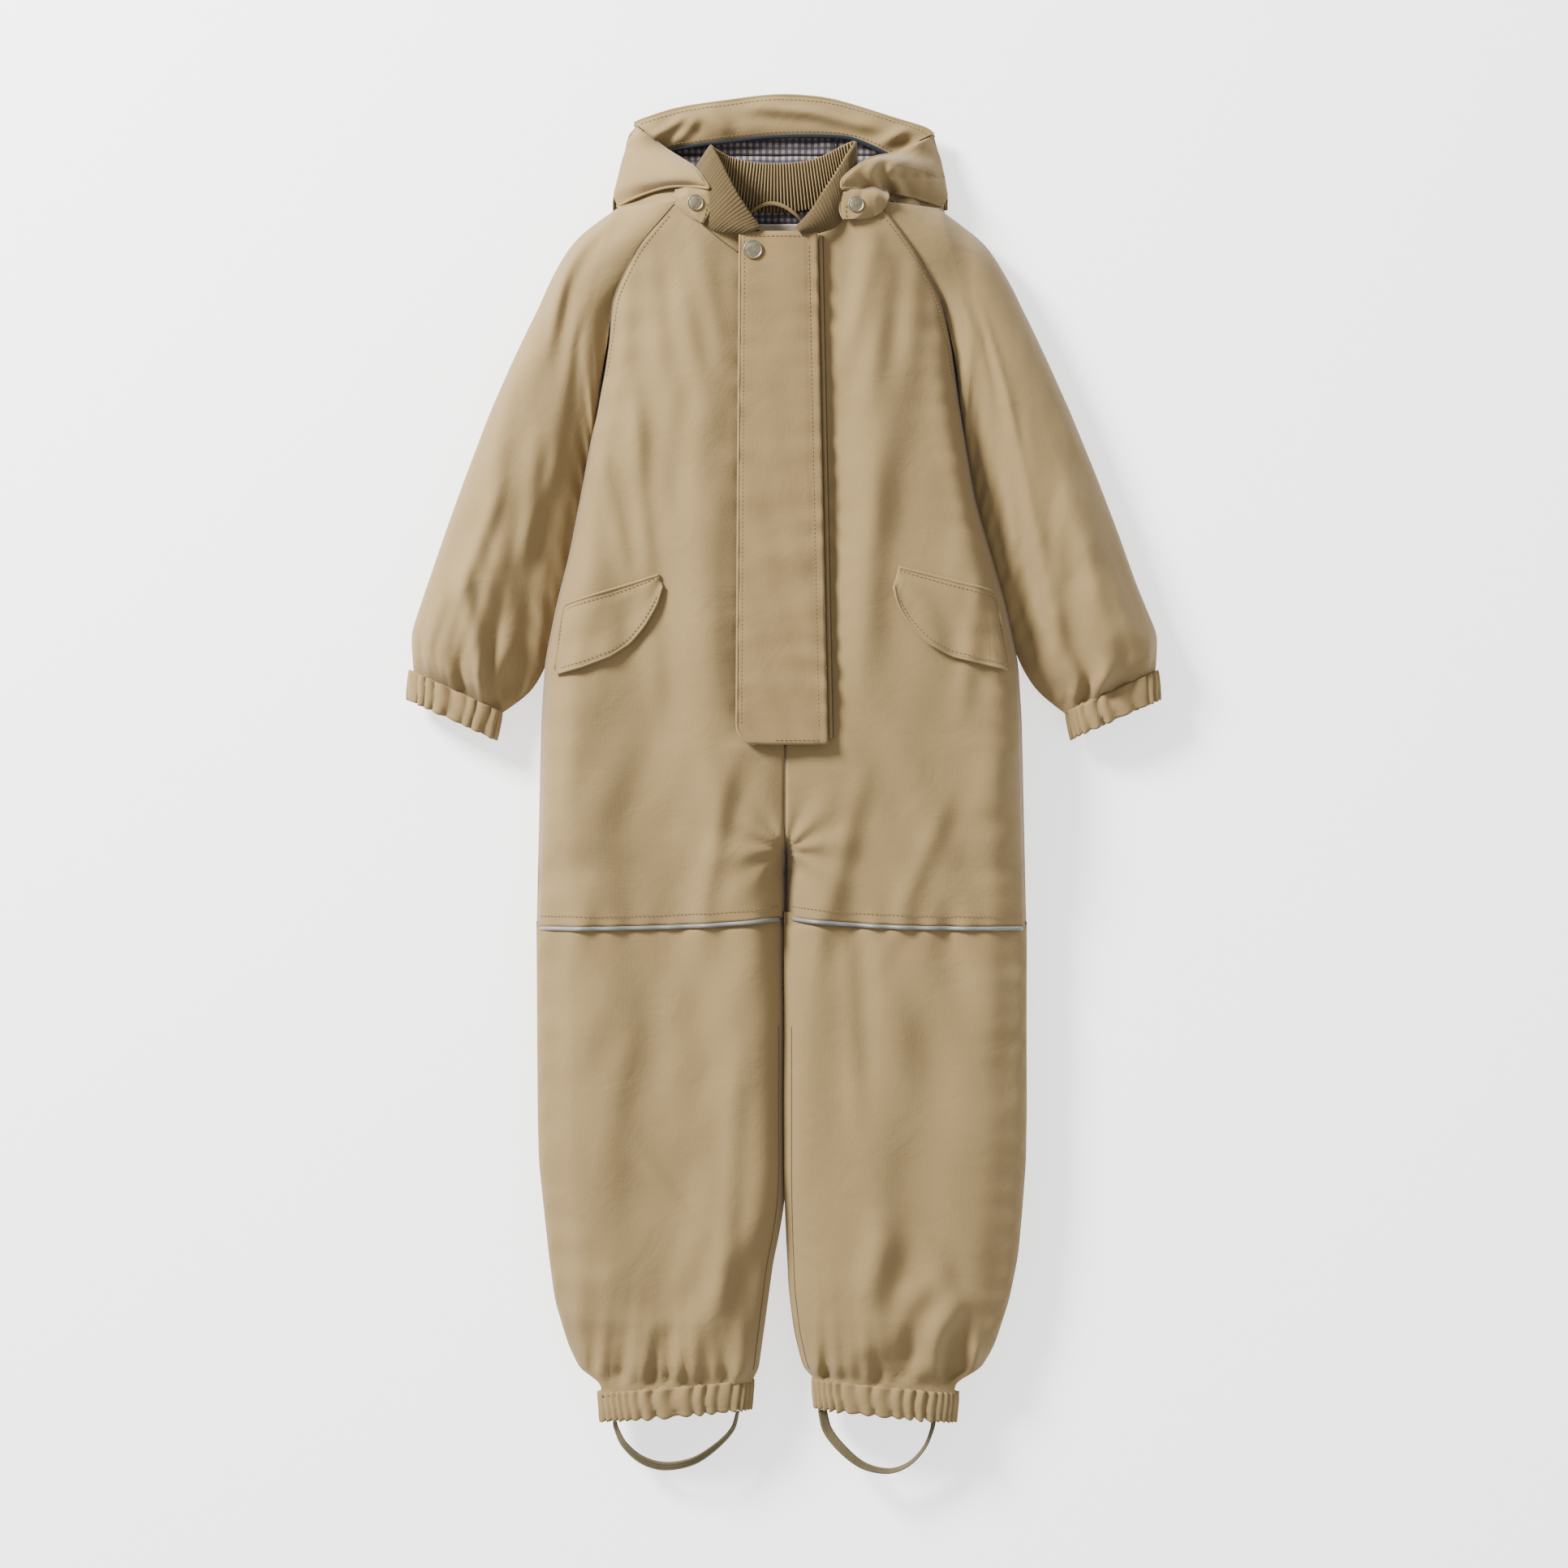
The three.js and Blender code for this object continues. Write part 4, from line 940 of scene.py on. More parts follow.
# ---------------------------------------------------------------- pocket flaps
for sign in (RIGHT, LEFT):
    side = NAMES[sign]
    axis = JOINTS[side + "_pocket_flap_open"]["axis"]
    along = np.array([axis[0], axis[1], 0])
    along = along / np.linalg.norm(along)
    down = np.array([along[1], -along[0], 0])
    down = down if down[1] < 0 else -down
    node = side + "_pocket_flap"
    co = np.array([p.co for p in NODES[node].data.vertices]) / MM
    s = co @ along
    at = np.linspace(s.min() + 1.5, s.max() - 1.5, 46)
    near, far = slices([node], along, down, at)
    near, far = blur(near, 3), blur(far, 3)
    v = np.linspace(0, 1, 26)[:, None]
    t = mix(near[None], far[None], v)
    plan_xy = along[None, None, :2] * at[None, :, None] + down[None, None, :2] * t[..., None]
    x, y = plan_xy[..., 0], plan_xy[..., 1]
    end = np.minimum(np.abs(at - at[0]), np.abs(at[-1] - at))[None]
    z = front_z(sign, x, y) + 1.8
    z += 0.9 * smooth(0.02, 0.25, v)
    z += 1.2 * smooth(0.55, 1.0, v) * (1 + 0.5 * folds(at[None] + 0 * v, v * 40, 26, 131 + sign))
    z += 0.5 * folds(x, y, 24, 137 + sign) * smooth(0.1, 0.4, v)
    z -= 0.8 * (1 - smooth(0, 4, end)) * smooth(0.1, 0.5, v)
    points = np.stack([x, y, z], axis=2)
    flap = grid_object(side + "_pocket_flap_cloth", face_up(points), thickness=1.3)
    ride(flap, SHELL, side + "_pocket_flap", [side + "_pocket_flap"])

    # stitches set in from the free edge
    row = np.array([[np.interp(max(0, 1 - 3.2 / max(depth, 1)), v[:, 0], points[:, i, k]) for k in range(3)]
                    for i, depth in enumerate(far - near)])
    keep = np.array([abs(p[0] - row[0][0]) > 2.6 and abs(p[0] - row[-1][0]) > 2.6 for p in row])
    row[:, 2] += 0.35
    ride(stitches(side + "_pocket_flap_stitches", row[keep]), THREAD, side + "_pocket_flap")
    ride(tube(side + "_pocket_flap_edge", points[-1] - [0, 0, 0.3], 0.9), SHELL, side + "_pocket_flap")
    ride(stitches(side + "_pocket_top_stitches", points[1] + [0, -1.2, 0.4]), THREAD, side + "_pocket_flap")
    ride(tube(side + "_pocket_top_welt", points[0] - [0, 0, 0.6], 1.2), SHELL)
    # the pocket's inner bag, of the lining cloth
    low, high = node_box(side + "_pocket_bag")
    bag, _ = patch(side + "_pocket_bag_cloth",
                   [(low[0] + 2, low[1] + 3, low[2] + 2), (high[0] - 2, low[1] + 3, low[2] + 3)],
                   [(low[0] + 2, high[1] - 3, low[2] + 3), (high[0] - 2, high[1] - 3, low[2] + 4)], 18, 12,
                   lambda u, w, x, y: 0.8 * folds(x, y, 22, 5), 0.6)
    ride(bag, GINGHAM, "coverall", [side + "_pocket_bag"])

# ---------------------------------------------------------------- storm flap
flap_y = np.linspace(FLAP_LOW[1], FLAP_HIGH[1], 150)
free_x, sewn_x = slices(["storm_flap"], Y_AXIS, X_AXIS, np.clip(flap_y, FLAP_LOW[1] + 0.2, FLAP_HIGH[1] - 0.2))
s = np.linspace(0, 1, 26)[None]
x = mix(free_x[:, None], sewn_x[:, None], s)
y = flap_y[:, None] * np.ones_like(s)


def flap_z(x, y):
    """Height of the storm flap's face."""
    left = np.interp(y, flap_y, free_x)
    right = np.interp(y, flap_y, sewn_x)
    z = FLAP_HIGH[2] - 0.4 + 0.5 * folds(y, x, 70, 151) + 0.45 * folds(x + 0.2 * y, y, 24, 157)
    z += 0.6 * gathers(y, np.maximum(0, right - x), 17, 14, 163)
    z += 0.45 * gathers(y, np.maximum(0, x - left), 19, 11, 167)
    z += creases(x, y, 173, 10, 34, (-20, 60, 15, 330), 1.35, 0.3, 0.9)
    z += 0.5 * np.sin(math.pi * np.clip((x - left) / (right - left), 0, 1))
    z -= 0.5 * np.exp(-((np.abs(x - left) - 3.2) / 0.9) ** 2)
    z -= 0.5 * np.exp(-((np.abs(right - x) - 6.2) / 1.0) ** 2)
    return z


storm = grid_object("storm_flap_cloth", np.stack([x, y, flap_z(x, y)], axis=2), thickness=1.7)
ride(storm, SHELL_FLAP, "storm_flap", ["storm_flap"])


def on_flap(line, rise=0.3):
    """A line of (x, y) points laid on the storm flap."""
    line = np.array(line, float)
    return np.column_stack([line[:, 0], line[:, 1], flap_z(line[:, 0], line[:, 1]) + rise])


straight = flap_y > FLAP_LOW[1] + 14
edge = np.column_stack([free_x, flap_y])
ride(tube("storm_flap_free_edge", on_flap(edge + [0.2, 0], -0.6), 1.0), SHELL, "storm_flap")
ride(stitches("storm_flap_free_stitches", on_flap((edge + [3.2, 0])[straight])), THREAD, "storm_flap")
sewn = np.column_stack([sewn_x, flap_y])
ride(stitches("storm_flap_sewn_stitches", on_flap((sewn - [6.2, 0])[4:-4])), THREAD, "storm_flap")
top_row = [(a, FLAP_HIGH[1] - 3.4) for a in np.linspace(free_x[-1] + 3, sewn_x[-1] - 6, 40)]
ride(stitches("storm_flap_top_stitches", on_flap(top_row)), THREAD, "storm_flap")
low_row = [(a, FLAP_LOW[1] + 3.2) for a in np.linspace(free_x[0] + 13, sewn_x[0] - 6, 30)]
ride(stitches("storm_flap_low_stitches", on_flap(low_row)), THREAD, "storm_flap")

# the raised seam beside the flap's sewn edge, and a thin tube of painted shade where the flap's cloth turns under
line = [(x1 + 1.6, y1) for x1, y1 in sewn[2:-1]]
ride(tube("storm_flap_welt_roll", on_front(LEFT, line, 1.1), 1.7, 10, 0.9), SHELL, "coverall",
     ["storm_flap_welt"])
ride(tube("storm_flap_seam_shadow", on_front(LEFT, np.array(line) + [2.1, 0], 0.15), 0.45, 6), SEAM_SHADE)

# zip tapes under the flap
for sign in (RIGHT, LEFT):
    low, high = node_box(NAMES[sign] + "_zip_tape")
    edges = [[(edge, low[1], high[2] - 0.2), (edge, high[1], high[2] - 0.2)] for edge in (low[0], high[0])]
    tape, _ = patch(NAMES[sign] + "_zip_tape_cloth", *edges, 6, 60,
                    lambda u, w, x, y: 0.12 * np.sin(y / 9), 0.7)
    ride(tape, TAPE, "coverall", [NAMES[sign] + "_zip_tape"])

# ---------------------------------------------------------------- knee piping
for sign in (RIGHT, LEFT):
    side = NAMES[sign]
    s = np.linspace(0.015, 0.985, 90)
    rows = []
    for w in np.linspace(0, 1, 5):
        y = knee_line(s) + 0.4 - (PIPING_W + 0.6) * w
        x = mix(outer_x(sign, np.full_like(y, KNEE_Y + 1)), sign * 1.0, s)
        yy = np.maximum(y, KNEE_Y + 0.5)
        z = front_z(sign, x, yy) + 0.7 + 0.9 * math.sin(math.pi * w)
        rows.append(np.column_stack([x, y, z]))
    rows = np.array(rows)
    strip = grid_object(side + "_knee_piping_tape", rows if sign == LEFT else rows[:, ::-1], thickness=1.2)
    ride(strip, GLASS_BEAD, "coverall", [side + "_knee_piping"])
    line = np.column_stack([mix(side_x(sign, KNEE_Y + 8), sign * 2, s), knee_line(s) + 7.5])
    ride(stitches(side + "_knee_stitches", on_front(sign, line)), THREAD)

# ---------------------------------------------------------------- rib collar
COLLAR, _ = node_box("rib_collar")


def from_collar(points):
    """Points given from the low corner of the collar's CAD box."""
    return [(COLLAR[0] + a, COLLAR[1] + b, COLLAR[2] + c) for a, b, c in points]


collar_seam = from_collar([(34, -1.5, 50.5), (20, 0, 49.5), (9, 5, 48), (2, 20, 44), (1, 38, 35), (6, 40, 30),
                           (24, 22, 24), (40, 17, 21.5), (57, 16, 21), (74, 17, 21.5), (92, 22, 24), (108, 40, 30),
                           (112, 36, 35), (107, 20, 44), (100, 5, 48), (89, 0, 49.5), (76, -1.5, 50.5)])
collar_edge = from_collar([(47, 1, 52.5), (40, 11, 54), (30, 27, 54.5), (20, 47, 52), (14.5, 57.5, 48), (17, 56, 43),
                           (28, 51.5, 37), (44, 48.5, 34), (57, 48, 33.5), (71, 48.5, 34), (87, 51.5, 37),
                           (104, 59, 43), (111, 61, 46), (106, 51, 50), (93, 30, 54), (82, 13, 54), (72, 1, 52.5)])
rows, cols = 22, 900
seam, edge = smooth_line(collar_seam, cols), smooth_line(collar_edge, cols)
v = np.linspace(0, 1, rows)[:, None, None]
points = mix(seam[None], edge[None], v)
points[..., 2] += 3.2 * np.sin(math.pi * v[..., 0]) * (0.35 + 0.65 * np.abs(np.linspace(-1, 1, cols)))[None]
length = run_length(points[10])
wale = np.sin(2 * math.pi * length / RIB_PITCH)
knit = 0.7 * wale[None] * (0.4 + 0.6 * smooth(0, 0.05, v[..., 0]) * (1 - 0.6 * smooth(0.93, 1, v[..., 0])))
points = points + normals_of(points) * knit[..., None]
uv = np.stack(np.broadcast_arrays(length[None] * MM, v[..., 0] * 0.045), axis=2)
rib = grid_object("rib_collar_knit", points, uv=uv, thickness=1.5)
ride(rib, RIB, "coverall", ["rib_collar"])

low, high = node_box("neck_facing")
facing, _ = patch("neck_facing_cloth",
                  [(low[0] + 4, low[1] - 2, low[2] + 18), (high[0] - 4, low[1] - 2, low[2] + 18)],
                  [(low[0] - 6, high[1] + 7, low[2] + 24), ((low[0] + high[0]) / 2, high[1] + 3.5, low[2] + 24.5),
                   (high[0] + 4, high[1] + 7, low[2] + 24)],
                  14, 40, lambda u, w, x, y: 0.5 * folds(x, y, 26, 171), 0.6)
ride(facing, GINGHAM, "coverall", ["neck_facing"])
low, high = node_box("neck_label")
label, _ = patch("neck_label_tape",
                 [(low[0], low[1] - 1, high[2] + 19.2), (high[0] + 1, low[1] - 1, high[2] + 19.2)],
                 [(low[0], high[1], high[2] + 22.2), (high[0] + 1, high[1], high[2] + 22.2)], 8, 24,
                 lambda u, w, x, y: 0.35 * np.sin(x / 6), 0.4)
ride(label, CREAM, "coverall", ["neck_label"])
low, high = node_box("hanger_loop")
mid = (low[0] + high[0]) / 2
loop_line = smooth_line([(low[0] + 1.2, low[1] + 1.4, 29), (low[0] + 7, high[1] - 6.5, 32),
                         (mid - 4, high[1] - 2.0, 34.5), (mid + 6, high[1] - 3.6, 34),
                         (high[0] - 7, high[1] - 9, 32), (high[0] - 1.4, low[1] + 1, 29)], 60)
band = np.array([loop_line + [0, w * 1.5, 0.35 * (1 - w * w)] for w in np.linspace(-1, 1, 5)])
loop = grid_object("hanger_loop_tape", band, thickness=0.9)
ride(loop, LOOP, "hanger", ["hanger_loop"])

# ---------------------------------------------------------------- hood
HOOD_ROWS = np.linspace(403, 475.5, 70)
HOOD_LOW, HOOD_HIGH = slices(["hood_lower_shell", "hood_crown_shell", "right_hood_wing", "left_hood_wing"],
                             Y_AXIS, X_AXIS, HOOD_ROWS)
HOOD_X = {RIGHT: blur(HOOD_LOW, 4), LEFT: blur(HOOD_HIGH, 4)}
HOOD_TOP = node_box("hood_facing_band")[1][1]
CROWN_Z = node_box("hood_facing_band")[1][2]


def hood_x(sign, y):
    """The hood's outline at one side."""
    return np.interp(y, HOOD_ROWS, HOOD_X[sign])


# the outer corner of the facing band, the end of the navy binding and the head of the tab at each side
CORNER = {RIGHT: np.array([hood_x(RIGHT, HOOD_FOLD_Y + 19) - 1, HOOD_FOLD_Y + 20.5, CROWN_Z]),
          LEFT: np.array([hood_x(LEFT, HOOD_FOLD_Y + 13) + 1, HOOD_FOLD_Y + 13, CROWN_Z])}
BIND_END = {RIGHT: np.array([-84.0, HOOD_FOLD_Y + 3, CROWN_Z + 1]),
            LEFT: np.array([74.0, HOOD_FOLD_Y - 0.5, CROWN_Z + 1])}
TAB_TOP = {}
for sign in (RIGHT, LEFT):
    low, high = node_box(NAMES[sign] + "_hood_tab")
    TAB_TOP[sign] = np.array([high[0] - 2.5 if sign == RIGHT else low[0] + 1.0, high[1] + 1.0, high[2]])

top_line = [CORNER[RIGHT] + [0.5, 1.5, 0], (-96, HOOD_TOP - 15, CROWN_Z), (-74, HOOD_TOP - 8.3, CROWN_Z),
            (-40, HOOD_TOP - 3, CROWN_Z), (-9, HOOD_TOP + 0.6, CROWN_Z), (14, HOOD_TOP + 0.2, CROWN_Z),
            (37, HOOD_TOP - 3.4, CROWN_Z), (76.7, HOOD_TOP - 15.5, CROWN_Z), (96, HOOD_TOP - 21.5, CROWN_Z),
            CORNER[LEFT] + [-1, 1.5, 0]]
bind_line = [BIND_END[RIGHT], (-70, HOOD_FOLD_Y + 5.6, CROWN_Z + 0.5), (-52, HOOD_FOLD_Y + 8.3, CROWN_Z),
             (-17, HOOD_FOLD_Y + 12.4, CROWN_Z - 0.5), (9, HOOD_FOLD_Y + 13.6, CROWN_Z - 0.5),
             (38, HOOD_FOLD_Y + 13, CROWN_Z - 0.5), (53, HOOD_FOLD_Y + 9.3, CROWN_Z), BIND_END[LEFT]]


def band_folds(u, v, x, y):
    """The facing band swells and creases between its two rows of stitches."""
    z = 5.0 * np.sin(math.pi * v) ** 0.8 * (0.75 + 0.25 * np.cos(3 * u))
    swell = np.sin(math.pi * v)
    z += 2.0 * folds(x + 1.3 * y, y, 48, 181) * swell
    for x0, y0, x1, y1, wide, high in ((-92, 9, -70, 26, 4, 3.2), (-78, 5, -62, 24, 4, 2.6),
                                       (-38, 12, -56, 33, 6, 2.6), (-26, 33, 22, 29, 4.5, 2.4),
                                       (16, 29, 64, 17, 4.5, 2.6), (62, 4, 84, 17, 4, 2.6)):
        z += ridge(x, y, (x0, HOOD_FOLD_Y + y0), (x1, HOOD_FOLD_Y + y1), wide, high) * swell
    z += 1.6 * gathers(x, (1 - v) * 22, 30, 8, 191) * smooth(0, 0.3, 1 - v)
    corner = np.exp(-u / 0.16)
    z += 3.2 * corner * np.sin((x * 0.55 + y) / 3.7) * np.sin(math.pi * v)
    corner = np.exp(-(1 - u) / 0.12)
    z += 2.0 * corner * np.sin((x * 0.8 - y) / 4.2) * np.sin(math.pi * v)
    return z


band, band_points = patch("hood_facing_cloth", bind_line, top_line, 30, 150, band_folds, 0.9)
ride(band, SHELL, "hood_crown", ["hood_facing_band"])
brim = smooth_line(top_line, 150)
ride(tube("hood_rim_edge", brim + [0, -0.4, -0.2], 1.1), SHELL, "hood_crown")


def along_band(share):
    """A line along the facing band, at a share of its width, clear of its ends."""
    at = share * (len(band_points) - 1)
    line = mix(band_points[int(at)], band_points[int(at) + 1], at % 1)
    return line[3:-3] + [0, 0, 0.35]


ride(stitches("hood_rim_stitches", along_band(0.88)), THREAD, "hood_crown")
ride(stitches("hood_casing_stitches", along_band(0.09)), THREAD, "hood_crown")
bind = smooth_line(bind_line, 150)
strip = np.array([bind + [0, -3.2 * w + 0.8, 0.4 + 0.8 * math.sin(math.pi * w)] for w in np.linspace(0, 1, 6)])
binding = grid_object("hood_binding_elastic", strip[::-1], thickness=1.0)
ride(binding, NAVY, "hood_crown", ["hood_elastic_binding"])


def lining_uv(points):
    """The checks run straight along X and Y."""
    return points[..., :2] * MM


def fold_with_hood(obj):
    """Bakes a piece's placement into its mesh."""
    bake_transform(obj)


# gingham inside the hood: the part that folds with the crown, then the part behind the collar
under = bind.copy()
under[:, 1] += 2
under[:, 2] -= 1.2
fold = np.column_stack([np.linspace(BIND_END[RIGHT][0] - 3, BIND_END[LEFT][0] + 3, 150),
                        np.full(150, HOOD_FOLD_Y + 0.3), np.full(150, 7.0)])
sag = np.abs(np.linspace(-1, 1, 150))
fold[:, 2] += 3.5 * sag ** 3
rows = []
for w in np.linspace(0, 1, 16):
    line = mix(fold, under, w)
    line[:, 1] = np.maximum(line[:, 1], HOOD_FOLD_Y + 0.3 + 0.1 * w)
    line[:, 2] += 0.9 * folds(line[:, 0], line[:, 1], 27, 197) * math.sin(math.pi * w)
    rows.append(line)
points = np.array(rows)
crown_lining = grid_object("hood_crown_gingham", points, uv=lining_uv(points), thickness=0.5)
ride(crown_lining, GINGHAM, "hood_crown", ["hood_crown_lining"])
NECKLINE = np.vstack([PANELS[RIGHT, False][-1], PANELS[LEFT, False][-1][::-1]])


def neckline(x):
    """The back neckline's y and height; the height dies away past the neck, under the shoulders."""
    inside = np.clip(x, NECKLINE[0, 0], NECKLINE[-1, 0])
    y = np.interp(inside, NECKLINE[:, 0], NECKLINE[:, 1])
    z = np.interp(inside, NECKLINE[:, 0], NECKLINE[:, 2])
    return y, z * (1 - smooth(80, 104, np.abs(x)))


rows = []
for w in np.linspace(0, 1, 22):
    line = fold.copy()
    line[:, 0] *= 1 - 0.06 * (1 - w)
    neck_y, neck_z = neckline(line[:, 0])
    line[:, 1] = mix(neck_y + 1.5, HOOD_FOLD_Y - 0.1, w)
    line[:, 2] = mix(neck_z + 2.6, fold[:, 2], smooth(0, 1, w))
    line[:, 2] += 0.8 * folds(line[:, 0], line[:, 1], 30, 199) * smooth(0, 0.2, w)
    rows.append(line)
points = np.array(rows)
sewn = from_collar([(3, 20, 43), (2, 37, 34), (7, 41, 29), (24, 23.5, 23), (40, 18.5, 20.5), (57, 17.5, 20),
                    (74, 18.5, 20.5), (92, 23.5, 23), (107, 41, 29), (111, 35, 34), (106, 20, 43)])
below = [(x, *(a + b for a, b in zip(neckline(x), (1.2, 2.2)))) for x in np.linspace(-80, 80, 11)]
neck_wall, _ = patch("hood_neck_gingham", sewn, below, 16, 90, None, 0.5)
ride(neck_wall, GINGHAM)
lower_lining = grid_object("hood_lower_gingham", points, uv=lining_uv(points), thickness=0.5)
ride(lower_lining, GINGHAM, "coverall", ["hood_lining"])
seam = [(34.0, HOOD_FOLD_Y + y, z) for y, z in zip(np.linspace(0.6, 12, 12), np.linspace(8, 13, 12))]
ride(tube("hood_lining_seam", seam, 0.45, 6), LINING_SEAM, "hood_crown")

# the outside of the hood behind, flat on the table, and turned up at its outline
cols, rows, half_width = 110, 40, 108
s = np.sin((math.pi / 2) * np.linspace(-1, 1, cols))
points = np.zeros((rows, cols, 3))
top_y = smooth_line(top_line, 400)
for j, v in enumerate(np.linspace(0, 1, rows)):
    for i, share in enumerate(s):
        guess = share * half_width
        neck_y, neck_z = neckline(guess)
        low_y = neck_y - 1.5
        high_y = np.interp(guess, top_y[:, 0], top_y[:, 1])
        y = mix(low_y, high_y, v)
        sign = LEFT if share > 0 else RIGHT
        edge = abs(hood_x(sign, min(y, HOOD_TOP - 4)))
        edge = min(edge, 1.5 + abs(CORNER[sign][0]) + 0.001 * y) if y > HOOD_FOLD_Y + 20 else edge
        x = share * edge
        out = edge - abs(x)
        up = (CROWN_Z - 1.2) * np.exp(-max(0, high_y - y) / 9) if v > 0.3 else 0
        z = 1.0 + max(11 * math.exp(-out / 10), up, (neck_z - 1.6) * math.exp(-((y - low_y) / 14) ** 2))
        points[j, i] = (x, y, z)
points[..., 2] += 0.4 * np.abs(folds(points[..., 0], points[..., 1], 45, 211))
back = grid_object("hood_back_shell", points[:, ::-1], thickness=0.8)
dress(back, SHELL)
fold_with_hood(back)
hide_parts("hood_lower_shell", "hood_crown_shell")


def wing(sign):
    """One side of the hood, folded forward: from its outline in to the opening's edge."""
    side = NAMES[sign]
    corner, bind_end, tab = CORNER[sign], BIND_END[sign], TAB_TOP[sign]
    low, _ = node_box(side + "_hood_wing")
    ys = np.linspace(low[1] - 0.5, corner[1] - 2, 8)
    outline = [(hood_x(sign, y), y, 13.5 - 2 * smooth(415, 450, y)) for y in ys]
    outline.append(tuple(corner + [0, -0.5, -1]))
    outline[0] = (outline[0][0] - sign * 3.5, outline[0][1] - 0.5, 14)
    if sign == RIGHT:
        rim = [tab + [1.2, 0.4, 1.2], tab + [-1.5, 4.5, 0], tab + [-9.5, 16, -10], bind_end + [2, -1, 9],
               mix(bind_end, corner, 0.5) + [1, 0, 5], corner + [0.5, 0.5, 0.5]]
    else:
        rim = [tab + [0, 0.4, 1.2], tab + [2.0, 8, 0.6], tab + [18.5, 21.5, -10], bind_end + [1, 0, 9],
               mix(bind_end, corner, 0.5) + [-1, -0.5, 5], corner + [-0.5, 0.5, 0.5]]
    cols, rows = 60, 46
    a, b = smooth_line(outline, rows), smooth_line(rim, rows)
    u = np.linspace(0, 1, cols)[None, :]
    w = np.linspace(0, 1, rows)[:, None]
    points = mix(a[:, None], b[:, None], u[..., None])
    # the lower fold edge sweeps from the outline's foot to the tab
    sweep = (1 - w) ** 3
    points[..., 1] += sweep * 8 * np.sin(math.pi * u) * (0.8 if sign == RIGHT else 0.4)
    span = np.linalg.norm(a - b, axis=1)[:, None]
    roll = 8.5 * puff(u * span, 7) * np.sin(math.pi * np.clip(u, 0, 1)) ** 0.35
    roll = roll * smooth(-0.02, 0.2, 1 - w) * (0.25 + 0.75 * smooth(0, 0.3, w))
    x, y = points[..., 0], points[..., 1]
    z = points[..., 2] + roll
    z += 1.3 * folds(x - 0.6 * sign * y, y, 38, 221 + sign) * np.sin(math.pi * u)
    if sign == RIGHT:
        # a crease runs from the tab out along the lower edge
        z -= 3.2 * np.exp(-((y - (408.5 + 0.10 * (x + 74))) / 3.0) ** 2) * np.exp(-((x + 84) / 18) ** 2)
        z += 1.8 * np.exp(-((y - 414) / 4.0) ** 2) * np.exp(-((x + 86) / 20) ** 2)
    else:
        # elastic in a casing bunches the cloth beside the tab
        r = np.hypot(x - 66, y - 409)
        z += 2.4 * np.exp(-(r / 17) ** 2) * np.sin(x / 2.3 + 1.4 * np.sin(y / 4.1))
        z -= 3.4 * np.exp(-((x - 72 + (y - 410) * 0.4) / 3.6) ** 2) * np.exp(-((y - 410) / 10) ** 2)
        z += 2.6 * np.exp(-((x - 79 + (y - 410) * 0.4) / 4.2) ** 2) * np.exp(-((y - 410) / 12) ** 2)
        z -= 2.2 * np.exp(-((y - 419 - 0.09 * (x - 80)) / 2.2) ** 2) * smooth(66, 76, x)
        z += 0.7 * gathers(x, np.abs(y - 419 - 0.09 * (x - 80)), 8, 6, 223) * smooth(64, 76, x)
    points[..., 2] = z
    shell = grid_object(side + "_hood_side_shell", face_up(points), thickness=0.9)
    rim_roll = tube(side + "_hood_rim_roll", points[:40, -1] - [0, 0, 0.4], 1.1)
    for obj in (shell, rim_roll):
        dress(obj, SHELL)
        fold_with_hood(obj)
    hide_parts(side + "_hood_wing")
    ride(tube(side + "_hood_foot_roll", points[0] - [0, 0, 0.5], 1.2), SHELL)
    if sign == LEFT:
        places = ((16, 40), (17, 34), (17, 28), (17, 22), (16, 16), (16, 10), (15, 4))
        line = [points[j, i] + [0, 0, 0.3] for j, i in places]
        ride(stitches("left_hood_casing_stitches", smooth_line(line, 40)), THREAD)


for sign in (RIGHT, LEFT):
    wing(sign)

